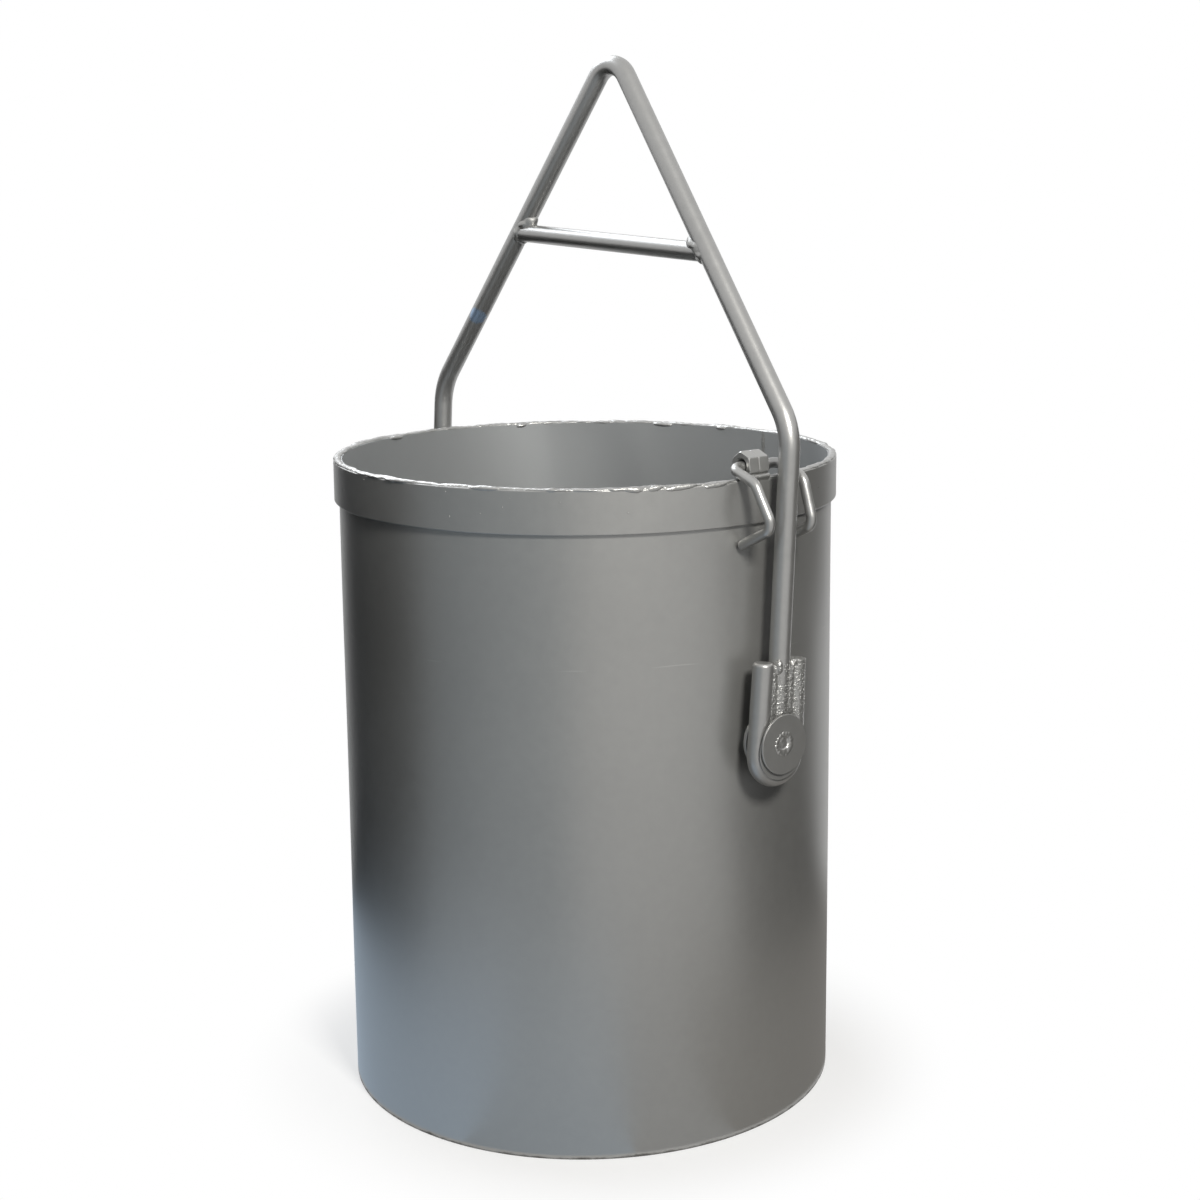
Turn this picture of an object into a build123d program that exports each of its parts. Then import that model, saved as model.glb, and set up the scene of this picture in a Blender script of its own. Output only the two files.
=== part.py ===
from build123d import *
import os
from math import acos, atan2, cos, hypot, radians, sin, sqrt, tan

# Hoist bucket: a welded steel pail on two trunnions, with a swinging bail and a wire latch.
# Millimetres. Origin at the middle of the foot, +Z up, +X along the trunnions to the latch's side.

# Pail
shell_diameter = 400
shell_height = 519
shell_wall = 3
base_thickness = 4
base_weld_leg = 5
band_height = 33
band_thickness = 4
rim_weld_crown = 1.5
rim_weld_inset = 0.4
seam_angle = 88.6
seam_gap = 2
seam_width = 5
seam_crown = 0.8
seam_end_gap = 0.4

# Trunnions
pivot_height = 321
pin_diameter = 16
pin_stub = 5
pin_weld_leg = 4
boss_wall = 2.5
boss_weld_leg = 1.2
washer_diameter = 42
washer_thickness = 3
outer_washer_diameter = 46
outer_washer_hole = 26
outer_washer_thickness = 1
outer_washer_drop = 4.8
outer_washer_play = 0.7
disc_diameter = 46
disc_thickness = 2
disc_chamfer = 0.5
disc_seat = 1
plug_floor = 1
end_clearance = 0.3
pin_clearance = 2.5

# Bail
rod_diameter = 16
bail_gap = 8
shoulder_above_rim = 38
apex_above_shoulder = 286
crossbar_above_shoulder = 132.2
crossbar_slant = 2.6
crossbar_diameter = 15
shoulder_bend = 50
apex_bend = 22
bail_lean = 3.4
bail_shift = 2
bail_rest_gap = 0.5
crossbar_weld_size = 3.5

# Stirrups
stirrup_drop = 8.5
stirrup_rise = 62
stirrup_gap = 0.5
stirrup_chamfer = 1
stirrup_weld_inset = 1
stirrup_weld_below_top = 3
stirrup_weld_above_pin = 4

# Latch
nut_width = 19
nut_height = 10
nut_bore_chamfer = 1
nut_corner_chamfer = 1
nut_turn = 6.7
nut_shift = 3.9
nut_seat_gap = 0.3
nut_weld_inset = 0.5
nut_weld_root = 1
wire_diameter = 8
wire_slack = 2.2
wire_clearance = 0.3
wire_bend = 8
knee_bend = 10
knee_inset = 0.5
knee_drop = 9.1
elbow_bend = 8
near_elbow_reach = 8.2
far_elbow_reach = 2.2
toe_below_band = 15.25
toe_slope = 26.4
near_leg_offset = 1.6
leg_pinch = 3.6
leg_clearance = 0.4

# Radii and heights that follow from them
shell_radius = shell_diameter / 2
inner_radius = shell_radius - shell_wall
band_radius = shell_radius + band_thickness
pin_radius = pin_diameter / 2
boss_radius = pin_radius + boss_wall
rod_radius = rod_diameter / 2
crossbar_radius = crossbar_diameter / 2
wire_radius = wire_diameter / 2
nut_bore_radius = (wire_diameter + wire_slack) / 2
lean = radians(bail_lean)
rim_rise = shell_height - pivot_height
shoulder_rise = rim_rise + shoulder_above_rim
crossbar_rise = shoulder_rise + crossbar_above_shoulder
apex_rise = shoulder_rise + apex_above_shoulder

# Distances from the pail's axis along the trunnions
leg_reach = band_radius + bail_gap + rod_radius
washer_face = leg_reach - rod_radius - end_clearance
outer_washer_face = leg_reach + rod_radius + end_clearance
pin_end = outer_washer_face + outer_washer_thickness + outer_washer_play
pin_start = inner_radius - pin_stub

# The bail's own plane leans, and its stirrups lie against one side of the pins: local x is +X, local y runs up the bail.
bail_plane = Plane(
    origin=(0, bail_shift, pivot_height), x_dir=(1, 0, 0), z_dir=(0, -cos(lean), sin(lean))
)
trunnion_axis = Axis((0, 0, pivot_height), (1, 0, 0))

os.makedirs("parts", exist_ok=True)


def write(piece, name):
    """Label a finished piece and write it as its own STEP file."""
    piece.part.label = name
    export_step(piece.part, f"parts/{name}.step")


# Shell and its seam
seam_plane = Plane.XY.rotated((0, 0, seam_angle))
seam_top = shell_height - band_height - seam_end_gap
seam_foot = base_thickness + base_weld_leg

with BuildPart() as shell:
    with BuildSketch():
        Circle(shell_radius)
        Circle(inner_radius, mode=Mode.SUBTRACT)
    extrude(amount=shell_height)
    with BuildSketch(Plane(origin=(0, 0, pivot_height), z_dir=(1, 0, 0))):
        Circle(pin_radius)
    extrude(amount=band_radius, both=True, mode=Mode.SUBTRACT)
    with BuildSketch(seam_plane):
        Rectangle(band_radius, seam_gap, align=(Align.MIN, Align.CENTER))
    extrude(amount=shell_height, mode=Mode.SUBTRACT)
write(shell, "shell")

with BuildPart() as seam_weld:
    with BuildSketch(seam_plane):
        Circle(shell_radius)
        Circle(inner_radius, mode=Mode.SUBTRACT)
        Rectangle(band_radius, seam_gap, align=(Align.MIN, Align.CENTER), mode=Mode.INTERSECT)
    extrude(amount=shell_height)
    with BuildSketch(seam_plane):
        Circle(shell_radius + seam_crown)
        Circle(shell_radius, mode=Mode.SUBTRACT)
        Rectangle(band_radius, seam_width, align=(Align.MIN, Align.CENTER), mode=Mode.INTERSECT)
    extrude(amount=seam_top)
    with BuildSketch(seam_plane.offset(seam_foot)):
        Circle(inner_radius)
        Circle(inner_radius - seam_crown, mode=Mode.SUBTRACT)
        Rectangle(band_radius, seam_width, align=(Align.MIN, Align.CENTER), mode=Mode.INTERSECT)
    extrude(amount=shell_height - seam_foot)
write(seam_weld, "shell_seam_weld")

# Base plate and the fillet weld round it
with BuildPart() as base_plate:
    with BuildSketch():
        Circle(inner_radius)
    extrude(amount=base_thickness)
write(base_plate, "base_plate")

with BuildPart() as base_weld:
    with BuildSketch(Plane.XZ):
        with BuildLine():
            Polyline(
                (inner_radius, base_thickness),
                (inner_radius, base_thickness + base_weld_leg),
                (inner_radius - base_weld_leg, base_thickness),
                close=True,
            )
        make_face()
    revolve(axis=Axis.Z)
write(base_weld, "base_weld")

# Rim band
with BuildPart() as rim_band:
    with BuildSketch(Plane.XY.offset(shell_height - band_height)):
        Circle(band_radius)
        Circle(shell_radius, mode=Mode.SUBTRACT)
    extrude(amount=band_height)
write(rim_band, "rim_band")

# Latch nuts: their lower flat sits over the rim's inner edge, turned a little from point-up.
flat_angle = radians(nut_turn - 60)
flat_out = Vector(cos(flat_angle), 0, sin(flat_angle))
flat_along = Vector(-sin(flat_angle), 0, cos(flat_angle))
rim_edge = Vector(inner_radius, 0, shell_height)
nut_centre = rim_edge - flat_out * (nut_width / 2 + nut_seat_gap) + flat_along * nut_shift
nut_plane = Plane(origin=nut_centre, x_dir=(1, 0, 0), z_dir=(0, -1, 0))
nut_corner = nut_width / sqrt(3)

for name, nut_start in (("latch_nut_near", 0), ("latch_nut_far", -nut_height)):
    with BuildPart() as nut:
        with BuildSketch(nut_plane.offset(nut_start)):
            Circle(nut_corner)
        extrude(amount=nut_height)
        chamfer(nut.edges().filter_by(GeomType.CIRCLE), nut_corner_chamfer)
        with BuildSketch(nut_plane.offset(nut_start)):
            RegularPolygon(nut_corner, 6, rotation=90 + nut_turn)
        extrude(amount=nut_height, mode=Mode.INTERSECT)
        with BuildSketch(nut_plane.offset(nut_start)):
            Circle(nut_bore_radius)
        extrude(amount=nut_height, mode=Mode.SUBTRACT)
        chamfer(nut.edges().filter_by(GeomType.CIRCLE).group_by(SortBy.RADIUS)[0], nut_bore_chamfer)
    write(nut, name)

nut_flat = rim_edge - flat_out * nut_seat_gap
weld_root = nut_flat + flat_along * nut_weld_root
weld_top = nut_flat + flat_along * (nut_shift + nut_corner / 2 - nut_weld_root)
weld_half_length = nut_height - nut_weld_inset

with BuildPart() as nut_weld:
    with BuildSketch(Plane.XZ):
        with BuildLine():
            Polyline(
                (weld_root.X, shell_height),
                (band_radius - nut_weld_inset, shell_height),
                (weld_top.X, weld_top.Z),
                (weld_root.X, weld_root.Z),
                close=True,
            )
        make_face()
    extrude(amount=weld_half_length, both=True)
write(nut_weld, "latch_nut_weld")

# Rim weld: a low bead over the joint of shell and band, broken where the nuts are welded on
with BuildPart() as rim_weld:
    with BuildSketch(Plane.XZ):
        with BuildLine():
            bead_start = inner_radius + rim_weld_inset
            bead_end = band_radius - rim_weld_inset
            Polyline(
                (bead_start, shell_height),
                (bead_start + rim_weld_crown, shell_height + rim_weld_crown),
                (bead_end - rim_weld_crown, shell_height + rim_weld_crown),
                (bead_end, shell_height),
                close=True,
            )
        make_face()
    revolve(axis=Axis.Z)
    with BuildSketch(Plane.XY.offset(shell_height)):
        Rectangle(2 * band_radius, 2 * nut_height, align=(Align.MIN, Align.CENTER))
    extrude(amount=2 * rim_weld_crown, mode=Mode.SUBTRACT)
write(rim_weld, "rim_weld")

# Bail rod: two upright legs, two shoulders and an apex, from one bar
rod_end = pin_radius + bail_rest_gap

with BuildPart() as bail_rod:
    with BuildLine(bail_plane) as bail_line:
        FilletPolyline(
            (leg_reach, rod_end),
            (leg_reach, shoulder_rise),
            (0, apex_rise),
            (-leg_reach, shoulder_rise),
            (-leg_reach, rod_end),
            radius=[shoulder_bend, apex_bend, shoulder_bend],
        )
    with BuildSketch(Plane(origin=bail_line.line @ 0, z_dir=bail_line.line % 0)):
        Circle(rod_radius)
    sweep()
write(bail_rod, "bail_rod")

# Crossbar between the bail's slopes, on a slight slant, with a collar of weld at each end
slope_run = leg_reach / apex_above_shoulder
slant = tan(radians(crossbar_slant))
right_reach = (apex_rise - crossbar_rise) * slope_run / (1 - slope_run * slant)
left_reach = (apex_rise - crossbar_rise) * slope_run / (1 + slope_run * slant)
slope_half_width = rod_radius * sqrt(1 + slope_run**2)

with BuildPart() as crossbar:
    with BuildLine(bail_plane) as crossbar_line:
        Line(
            (-left_reach, crossbar_rise + left_reach * slant),
            (right_reach, crossbar_rise - right_reach * slant),
        )
    with BuildSketch(Plane(origin=crossbar_line.line @ 0, z_dir=crossbar_line.line % 0)):
        Circle(crossbar_radius)
    sweep()
    add(bail_rod.part, mode=Mode.SUBTRACT)
write(crossbar, "crossbar")

for side, reach in (("right", right_reach - slope_half_width), ("left", slope_half_width - left_reach)):
    with BuildPart() as crossbar_weld:
        with Locations(bail_plane.from_local_coords(Vector(reach, crossbar_rise - reach * slant, 0))):
            Sphere(crossbar_radius + crossbar_weld_size)
        add(bail_rod.part, mode=Mode.SUBTRACT)
        add(crossbar.part, mode=Mode.SUBTRACT)
    write(crossbar_weld, f"{side}_crossbar_weld")

# Stirrup centreline: a bend round the pin and two legs that close in on the bail's leg
stirrup_bend = pin_radius + pin_clearance + rod_radius
stirrup_mouth = 2 * rod_radius + stirrup_gap
leg_top_from_bend = hypot(stirrup_mouth, stirrup_rise + stirrup_drop)
tangent_angle = atan2(stirrup_rise + stirrup_drop, stirrup_mouth) - acos(stirrup_bend / leg_top_from_bend)
tangent_out = stirrup_bend * cos(tangent_angle)
tangent_up = stirrup_bend * sin(tangent_angle) - stirrup_drop

# Trunnions and stirrups, alike on both sides
for side, sign in (("right", 1), ("left", -1)):
    outward = Plane(origin=(0, 0, pivot_height), x_dir=(0, 1, 0), z_dir=(sign, 0, 0))
    section = Plane(origin=(0, 0, pivot_height), x_dir=(sign, 0, 0), z_dir=(0, -sign, 0))
    stirrup_plane = Plane(
        origin=(sign * leg_reach, bail_shift, pivot_height), x_dir=(0, cos(lean), -sin(lean)), z_dir=(1, 0, 0)
    )

    with BuildPart() as pin:
        with BuildSketch(outward.offset(pin_start)):
            Circle(pin_radius)
        extrude(amount=pin_end - pin_start)
    write(pin, f"{side}_trunnion_pin")

    with BuildPart() as boss:
        with BuildSketch(outward.offset(inner_radius)):
            Circle(boss_radius)
            Circle(pin_radius, mode=Mode.SUBTRACT)
        extrude(amount=washer_face - washer_thickness - inner_radius)
        with Locations((0, 0, pivot_height)):
            Cylinder(shell_radius, 4 * boss_radius, mode=Mode.SUBTRACT)
    write(boss, f"{side}_trunnion_boss")

    with BuildPart() as boss_weld:
        with BuildSketch(section):
            with BuildLine():
                Polyline(
                    (shell_radius + boss_weld_leg, boss_radius),
                    (shell_radius - boss_weld_leg, boss_radius),
                    (shell_radius - boss_weld_leg, boss_radius + 2 * boss_weld_leg),
                    close=True,
                )
            make_face()
        revolve(axis=trunnion_axis)
        with Locations((0, 0, pivot_height)):
            Cylinder(shell_radius, 4 * (boss_radius + boss_weld_leg), mode=Mode.SUBTRACT)
    write(boss_weld, f"{side}_boss_weld")

    with BuildPart() as pin_weld:
        with BuildSketch(section):
            with BuildLine():
                Polyline(
                    (inner_radius - pin_weld_leg, pin_radius),
                    (inner_radius + pin_weld_leg, pin_radius),
                    (inner_radius + pin_weld_leg, pin_radius + 2 * pin_weld_leg),
                    close=True,
                )
            make_face()
        revolve(axis=trunnion_axis)
        with Locations((0, 0, pivot_height)):
            Cylinder(inner_radius, 4 * (pin_radius + pin_weld_leg), mode=Mode.INTERSECT)
    write(pin_weld, f"{side}_pin_weld")

    with BuildPart() as washer:
        with BuildSketch(outward.offset(washer_face - washer_thickness)):
            Circle(washer_diameter / 2)
            Circle(pin_radius, mode=Mode.SUBTRACT)
        extrude(amount=washer_thickness)
    write(washer, f"{side}_inner_washer")

    # The outer washer has a wide hole and hangs low on the pin, behind the disc.
    with BuildPart() as outer_washer:
        with BuildSketch(outward.offset(outer_washer_face)):
            with Locations((0, -sign * outer_washer_drop)):
                Circle(outer_washer_diameter / 2)
                Circle(outer_washer_hole / 2, mode=Mode.SUBTRACT)
        extrude(amount=outer_washer_thickness)
    write(outer_washer, f"{side}_outer_washer")

    with BuildPart() as disc:
        with BuildSketch(outward.offset(pin_end)):
            Circle(disc_diameter / 2)
            Circle(pin_radius - disc_seat, mode=Mode.SUBTRACT)
        extrude(amount=disc_thickness)
        chamfer(disc.edges().filter_by(GeomType.CIRCLE).sort_by(SortBy.RADIUS)[-2:], disc_chamfer)
    write(disc, f"{side}_retaining_disc")

    with BuildPart() as plug_weld:
        with BuildSketch(section):
            with BuildLine():
                Polyline(
                    (pin_end + plug_floor, 0),
                    (pin_end, 0),
                    (pin_end, pin_radius - disc_seat),
                    (pin_end + disc_thickness, pin_radius - disc_seat),
                )
                TangentArc(
                    (pin_end + plug_floor, 0),
                    (pin_end + disc_thickness, pin_radius - disc_seat),
                    tangent=(0, 1),
                )
            make_face()
        revolve(axis=trunnion_axis)
    write(plug_weld, f"{side}_plug_weld")

    with BuildPart() as stirrup:
        with BuildLine(stirrup_plane) as stirrup_line:
            Line((stirrup_mouth, stirrup_rise), (tangent_out, tangent_up))
            ThreePointArc(
                (tangent_out, tangent_up),
                (0, -stirrup_drop - stirrup_bend),
                (-tangent_out, tangent_up),
            )
            Line((-tangent_out, tangent_up), (-stirrup_mouth, stirrup_rise))
        with BuildSketch(Plane(origin=stirrup_line.line @ 0, z_dir=stirrup_line.line % 0)):
            Circle(rod_radius)
        sweep()
        chamfer(stirrup.edges().filter_by(GeomType.CIRCLE).sort_by(Axis.Z)[-2:], stirrup_chamfer)
    write(stirrup, f"{side}_stirrup")

    with BuildPart() as stirrup_weld:
        weld_foot = rod_end + stirrup_weld_above_pin
        weld_head = stirrup_rise - stirrup_weld_below_top
        with BuildSketch(stirrup_plane):
            with Locations((0, weld_foot)):
                Rectangle(2 * stirrup_mouth, weld_head - weld_foot, align=(Align.CENTER, Align.MIN))
        extrude(amount=rod_radius - stirrup_weld_inset, both=True)
        add(bail_rod.part, mode=Mode.SUBTRACT)
        add(stirrup.part, mode=Mode.SUBTRACT)
    write(stirrup_weld, f"{side}_stirrup_weld")

# Latch wire: through the nuts, then down outside the rim on both sides of the bail's leg
wire_x = nut_centre.X
wire_z = nut_centre.Z - (nut_bore_radius - wire_radius - wire_clearance)
near_leg = nut_height + near_leg_offset + wire_bend
slope = radians(toe_slope)
pinch = tan(radians(leg_pinch))
knee = (leg_reach - knee_inset, wire_z - knee_drop)
toe_z = shell_height - band_height - toe_below_band
toe_to_middle = near_leg - pinch * (knee[1] - toe_z) - wire_radius
toe = (sqrt(shell_radius**2 - toe_to_middle**2) + wire_clearance + wire_radius * sin(slope), toe_z)
near_elbow = leg_reach + rod_radius + near_elbow_reach
far_elbow = leg_reach + rod_radius + far_elbow_reach

# The near leg closes in on the bail below its knee.
near_points = [
    (x, pinch * max(knee[1] - z, 0) - near_leg, z)
    for x, z in (toe, (near_elbow, toe_z + (near_elbow - toe[0]) * tan(slope)), knee, (wire_x, wire_z))
]

# The far leg stands clear of the leaning bail where the latch's swing takes its toe past the bail.
swing_radius = hypot(toe[0] - wire_x, toe_z - wire_z) + wire_radius
swing_rise = wire_z + sqrt(swing_radius**2 - (leg_reach - wire_x) ** 2) - pivot_height
far_leg = bail_shift + swing_rise * tan(lean) + rod_radius / cos(lean) + wire_radius + leg_clearance
far_points = [
    (x, far_leg, z)
    for x, z in ((wire_x, wire_z), knee, (far_elbow, toe_z + (far_elbow - toe[0]) * tan(slope)), toe)
]

with BuildPart() as latch_wire:
    with BuildLine() as wire_line:
        FilletPolyline(
            *near_points,
            *far_points,
            radius=[elbow_bend, knee_bend, wire_bend, wire_bend, knee_bend, elbow_bend],
        )
    with BuildSketch(Plane(origin=wire_line.line @ 0, z_dir=wire_line.line % 0)):
        Circle(wire_radius)
    sweep()
write(latch_wire, "latch_wire")
print("latch wire axis", round(wire_x, 3), round(wire_z, 3), "legs at", -near_leg, round(far_leg, 3))
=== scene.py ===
"""Hoist bucket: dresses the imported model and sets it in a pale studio."""

from __future__ import annotations

import logging
import math
import random
from dataclasses import dataclass, field
from enum import Enum
from typing import Any, Mapping, Optional, Sequence, Union

import bmesh
import bpy
from mathutils import Matrix, Vector, noise


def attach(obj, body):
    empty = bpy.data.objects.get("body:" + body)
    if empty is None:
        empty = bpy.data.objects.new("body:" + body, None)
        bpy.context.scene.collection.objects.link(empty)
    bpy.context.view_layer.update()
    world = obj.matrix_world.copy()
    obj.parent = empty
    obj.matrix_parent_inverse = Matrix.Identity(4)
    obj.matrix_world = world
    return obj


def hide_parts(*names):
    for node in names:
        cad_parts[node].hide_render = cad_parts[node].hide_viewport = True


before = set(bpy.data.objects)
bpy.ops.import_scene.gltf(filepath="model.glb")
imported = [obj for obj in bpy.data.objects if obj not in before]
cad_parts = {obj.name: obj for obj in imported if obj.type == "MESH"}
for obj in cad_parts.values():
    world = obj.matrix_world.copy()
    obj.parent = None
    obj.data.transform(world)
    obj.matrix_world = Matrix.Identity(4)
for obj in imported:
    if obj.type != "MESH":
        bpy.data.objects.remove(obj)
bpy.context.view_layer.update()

LOG = logging.getLogger("hoist_bucket")
MM = 0.001
MERGE = 0.001 * MM
PARALLEL = 0.99
FULL_TURN = 2.0 * math.pi
QUARTER_TURN = 0.5 * math.pi
UP = Vector((0.0, 0.0, 1.0))
ALONG_TRUNNIONS = Vector((1.0, 0.0, 0.0))
ACROSS_BAIL = Vector((0.0, 1.0, 0.0))

Colour = tuple[float, float, float]
Pair = tuple[float, float]
Triple = tuple[float, float, float]
Edges = list[bmesh.types.BMEdge]


class Body(Enum):
    """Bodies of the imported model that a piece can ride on."""

    PAIL = "pail"
    BAIL = "bail"
    LATCH = "latch"


class Slot(Enum):
    """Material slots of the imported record."""

    PAIL = "pail_paint"
    BAIL = "bail_paint"
    LATCH = "latch_paint"
    WELD = "weld_paint"


class Side(Enum):
    """The two trunnion sides, with the sign of their direction along X."""

    RIGHT = 1
    LEFT = -1

    @property
    def label(self) -> str:
        """Name of the side as the nodes use it."""
        return self.name.lower()


def mm(*values: float) -> list[float]:
    """Millimetres as metres."""
    return [value * MM for value in values]


def angles(span: float, parts: int) -> list[float]:
    """Angles from 0 to a span, in equal parts."""
    return [span * part / parts for part in range(parts + 1)]


# Shader nodes


class Signal:
    """One output of a shader node; arithmetic on it adds Math nodes."""

    def __init__(self, bench: PaintBench, socket: bpy.types.NodeSocket) -> None:
        """Keep the socket and the bench that it belongs to."""
        self.bench = bench
        self.socket = socket

    def _math(self, operation: str, first: Feed, second: Feed) -> Signal:
        """Add one Math node and return its result."""
        return self.bench.node("ShaderNodeMath", {"operation": operation}, {0: first, 1: second})

    def __add__(self, other: Feed) -> Signal:
        """Add a value or another signal."""
        return self._math("ADD", self, other)

    def __radd__(self, other: Feed) -> Signal:
        """Add this signal to a value."""
        return self._math("ADD", other, self)

    def __sub__(self, other: Feed) -> Signal:
        """Take away a value or another signal."""
        return self._math("SUBTRACT", self, other)

    def __rsub__(self, other: Feed) -> Signal:
        """Take this signal away from a value."""
        return self._math("SUBTRACT", other, self)

    def __mul__(self, other: Feed) -> Signal:
        """Multiply by a value or another signal."""
        return self._math("MULTIPLY", self, other)

    def __rmul__(self, other: Feed) -> Signal:
        """Multiply a value by this signal."""
        return self._math("MULTIPLY", other, self)

    def __abs__(self) -> Signal:
        """Drop the sign."""
        return self._math("ABSOLUTE", self, 0.0)


Feed = Union[Signal, float, Sequence[float]]

# Sockets of the Mix node that carry colours
MIX_COLOURS = (6, 7)
MIX_RESULT = 2


class PaintBench:
    """Builds the node tree of one material or world."""

    def __init__(self, owner: Union[bpy.types.Material, bpy.types.World]) -> None:
        """Start from an empty tree.

        Args:
            owner: The material or world.
        """
        owner.use_nodes = True
        self.owner = owner
        self.tree = owner.node_tree
        self.tree.nodes.clear()
        self._place: Optional[Signal] = None

    def node(
        self,
        kind: str,
        settings: Optional[Mapping[str, Any]] = None,
        feeds: Optional[Mapping[Union[int, str], Feed]] = None,
        output: Union[int, str] = 0,
    ) -> Signal:
        """Add a node, apply its settings first and then its values and links.

        Args:
            kind: Blender's name of the node type.
            settings: Properties of the node.
            feeds: Values or links of its inputs, by index or name.
            output: Index or name of the output to return.

        Returns:
            The chosen output.
        """
        node = self.tree.nodes.new(kind)
        for name, value in (settings or {}).items():
            setattr(node, name, value)
        for key, feed in (feeds or {}).items():
            socket = node.inputs[key]
            if isinstance(feed, Signal):
                self.tree.links.new(feed.socket, socket)
            else:
                socket.default_value = feed
        return Signal(self, node.outputs[output] if len(node.outputs) else None)

    @property
    def place(self) -> Signal:
        """Position on the piece, in metres in the shared frame.

        Returns:
            The Object coordinates.
        """
        if self._place is None:
            self._place = self.node("ShaderNodeTexCoord", output="Object")
        return self._place

    def along(self, axis: str) -> Signal:
        """Position along one axis of the shared frame."""
        return self.node("ShaderNodeSeparateXYZ", feeds={0: self.place}, output=axis)

    def length(self, vector: Signal) -> Signal:
        """Length of a vector."""
        return self.node("ShaderNodeVectorMath", {"operation": "LENGTH"}, {0: vector}, "Value")

    def noise(self, scale: float, detail: float = 2.0, rough: float = 0.5) -> Signal:
        """Noise from 0 to 1, by waves per metre, finer layers and their share."""
        feeds = {"Vector": self.place, "Scale": scale, "Detail": detail, "Roughness": rough}
        return self.node("ShaderNodeTexNoise", feeds=feeds)

    def cells(self, scale: float) -> Signal:
        """Distance to the nearest of randomly scattered points."""
        return self.node("ShaderNodeTexVoronoi", feeds={"Vector": self.place, "Scale": scale})

    def ease(self, value: Signal, start: float, end: float) -> Signal:
        """Smooth step from 0 at the start value to 1 at the end value."""
        feeds = {"Value": value, "From Min": start, "From Max": end, "To Min": 0.0, "To Max": 1.0}
        return self.node("ShaderNodeMapRange", {"interpolation_type": "SMOOTHSTEP"}, feeds)

    def shade(self, colour: Colour, tone: Signal) -> Signal:
        """Make a colour lighter or darker by a factor."""
        settings = {"operation": "SCALE"}
        return self.node("ShaderNodeVectorMath", settings, {0: colour, "Scale": tone})

    def blend(self, factor: Signal, under: Feed, over: Feed) -> Signal:
        """Mix two colours.

        Args:
            factor: Share of the second colour.
            under: First colour.
            over: Second colour.

        Returns:
            The mixed colour.
        """
        feeds = {0: factor}
        for socket, feed in zip(MIX_COLOURS, (under, over)):
            feeds[socket] = feed if isinstance(feed, Signal) else (*feed, 1.0)
        return self.node("ShaderNodeMix", {"data_type": "RGBA"}, feeds, MIX_RESULT)

    def bump(self, height: Signal, distance: float) -> Signal:
        """Normal of a surface raised by a height signal, of which 1 stands for a distance."""
        feeds = {"Strength": 1.0, "Distance": distance, "Height": height}
        return self.node("ShaderNodeBump", feeds=feeds, output="Normal")

    def finish(self, kind: str, shader: Signal) -> None:
        """Link a shader to the tree's output node."""
        self.node(kind, feeds={"Surface": shader})


# Finishes


@dataclass(frozen=True)
class SilverPaint:
    """Semi-gloss silver-grey paint on steel.

    A scale is in waves per metre, and an edge says where a mask starts and where it is full.
    """

    name: str
    colour: Colour
    roughness: float
    metallic: float = 0.7
    cloud: float = 0.10
    cloud_scale: float = 6.5
    cloud_rough: float = 0.08
    mottle: float = 0.08
    mottle_scale: float = 130.0
    mottle_rough: float = 0.07
    peel: float = 0.02 * MM
    peel_scale: float = 190.0
    grain: float = 0.012 * MM
    grain_scale: float = 780.0
    dust_lift: float = 0.15
    dust_rough: float = 0.12
    # Colour of grime specks, and on the pail of the painted contact shade along the foot
    grime: Colour = (0.050, 0.047, 0.042)
    grime_rough: float = 0.35
    speck_share: float = 0.04
    speck_scale: float = 46.0
    speck_edge: Pair = (0.035, 0.075)
    patch_scale: float = 11.0
    patch_edge: Pair = (0.52, 0.66)

    def wear(self, bench: PaintBench) -> Signal:
        """Where grime specks dull the paint, from 0 to 1; on the pail also painted contact shade
        at the foot.

        Args:
            bench: The bench to build on.

        Returns:
            The grime mask.
        """
        spots = 1.0 - bench.ease(bench.cells(self.speck_scale), *self.speck_edge)
        patches = bench.ease(bench.noise(self.patch_scale, detail=3.0), *self.patch_edge)
        return spots * patches * self.speck_share

    def dust(self, bench: PaintBench) -> Feed:
        """Matt overspray and painted skylight, from 0 to 1; nowhere on most pieces."""
        return 0.0

    def mark(self, bench: PaintBench, colour: Signal) -> Signal:
        """Colour of the paint after stray marks; none on most pieces."""
        return colour

    def relief(self, bench: PaintBench) -> Signal:
        """Fine relief of the paint, in millimetres.

        Args:
            bench: The bench to build on.

        Returns:
            The height signal.
        """
        orange_peel = bench.noise(self.peel_scale)
        flakes = bench.noise(self.grain_scale)
        return orange_peel * (self.peel / MM) + flakes * (self.grain / MM)

    def make(self) -> bpy.types.Material:
        """Build the material.

        Returns:
            The finished material.
        """
        bench = PaintBench(bpy.data.materials.new(self.name))
        cloud = bench.noise(self.cloud_scale, detail=3.0) - 0.5
        mottle = bench.noise(self.mottle_scale, detail=3.0, rough=0.6) - 0.5
        grime_and_shade_mask, dust = self.wear(bench), self.dust(bench)
        # Tone: cloud and mottle vary at random; the inside mask lifts it as painted skylight
        tone = 1.0 + cloud * self.cloud + mottle * self.mottle + dust * self.dust_lift
        marked = self.mark(bench, bench.shade(self.colour, tone))
        rough = self.roughness + cloud * self.cloud_rough + mottle * self.mottle_rough
        feeds = {
            # Base Color: grime specks darken the paint; on the pail the same mask paints contact
            # shade at the foot
            "Base Color": bench.blend(grime_and_shade_mask, marked, self.grime),
            "Metallic": self.metallic - grime_and_shade_mask * self.metallic,
            "Roughness": rough + grime_and_shade_mask * self.grime_rough + dust * self.dust_rough,
            "Normal": bench.bump(self.relief(bench), MM),
        }
        shader = bench.node("ShaderNodeBsdfPrincipled", feeds=feeds)
        bench.finish("ShaderNodeOutputMaterial", shader)
        return bench.owner


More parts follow.
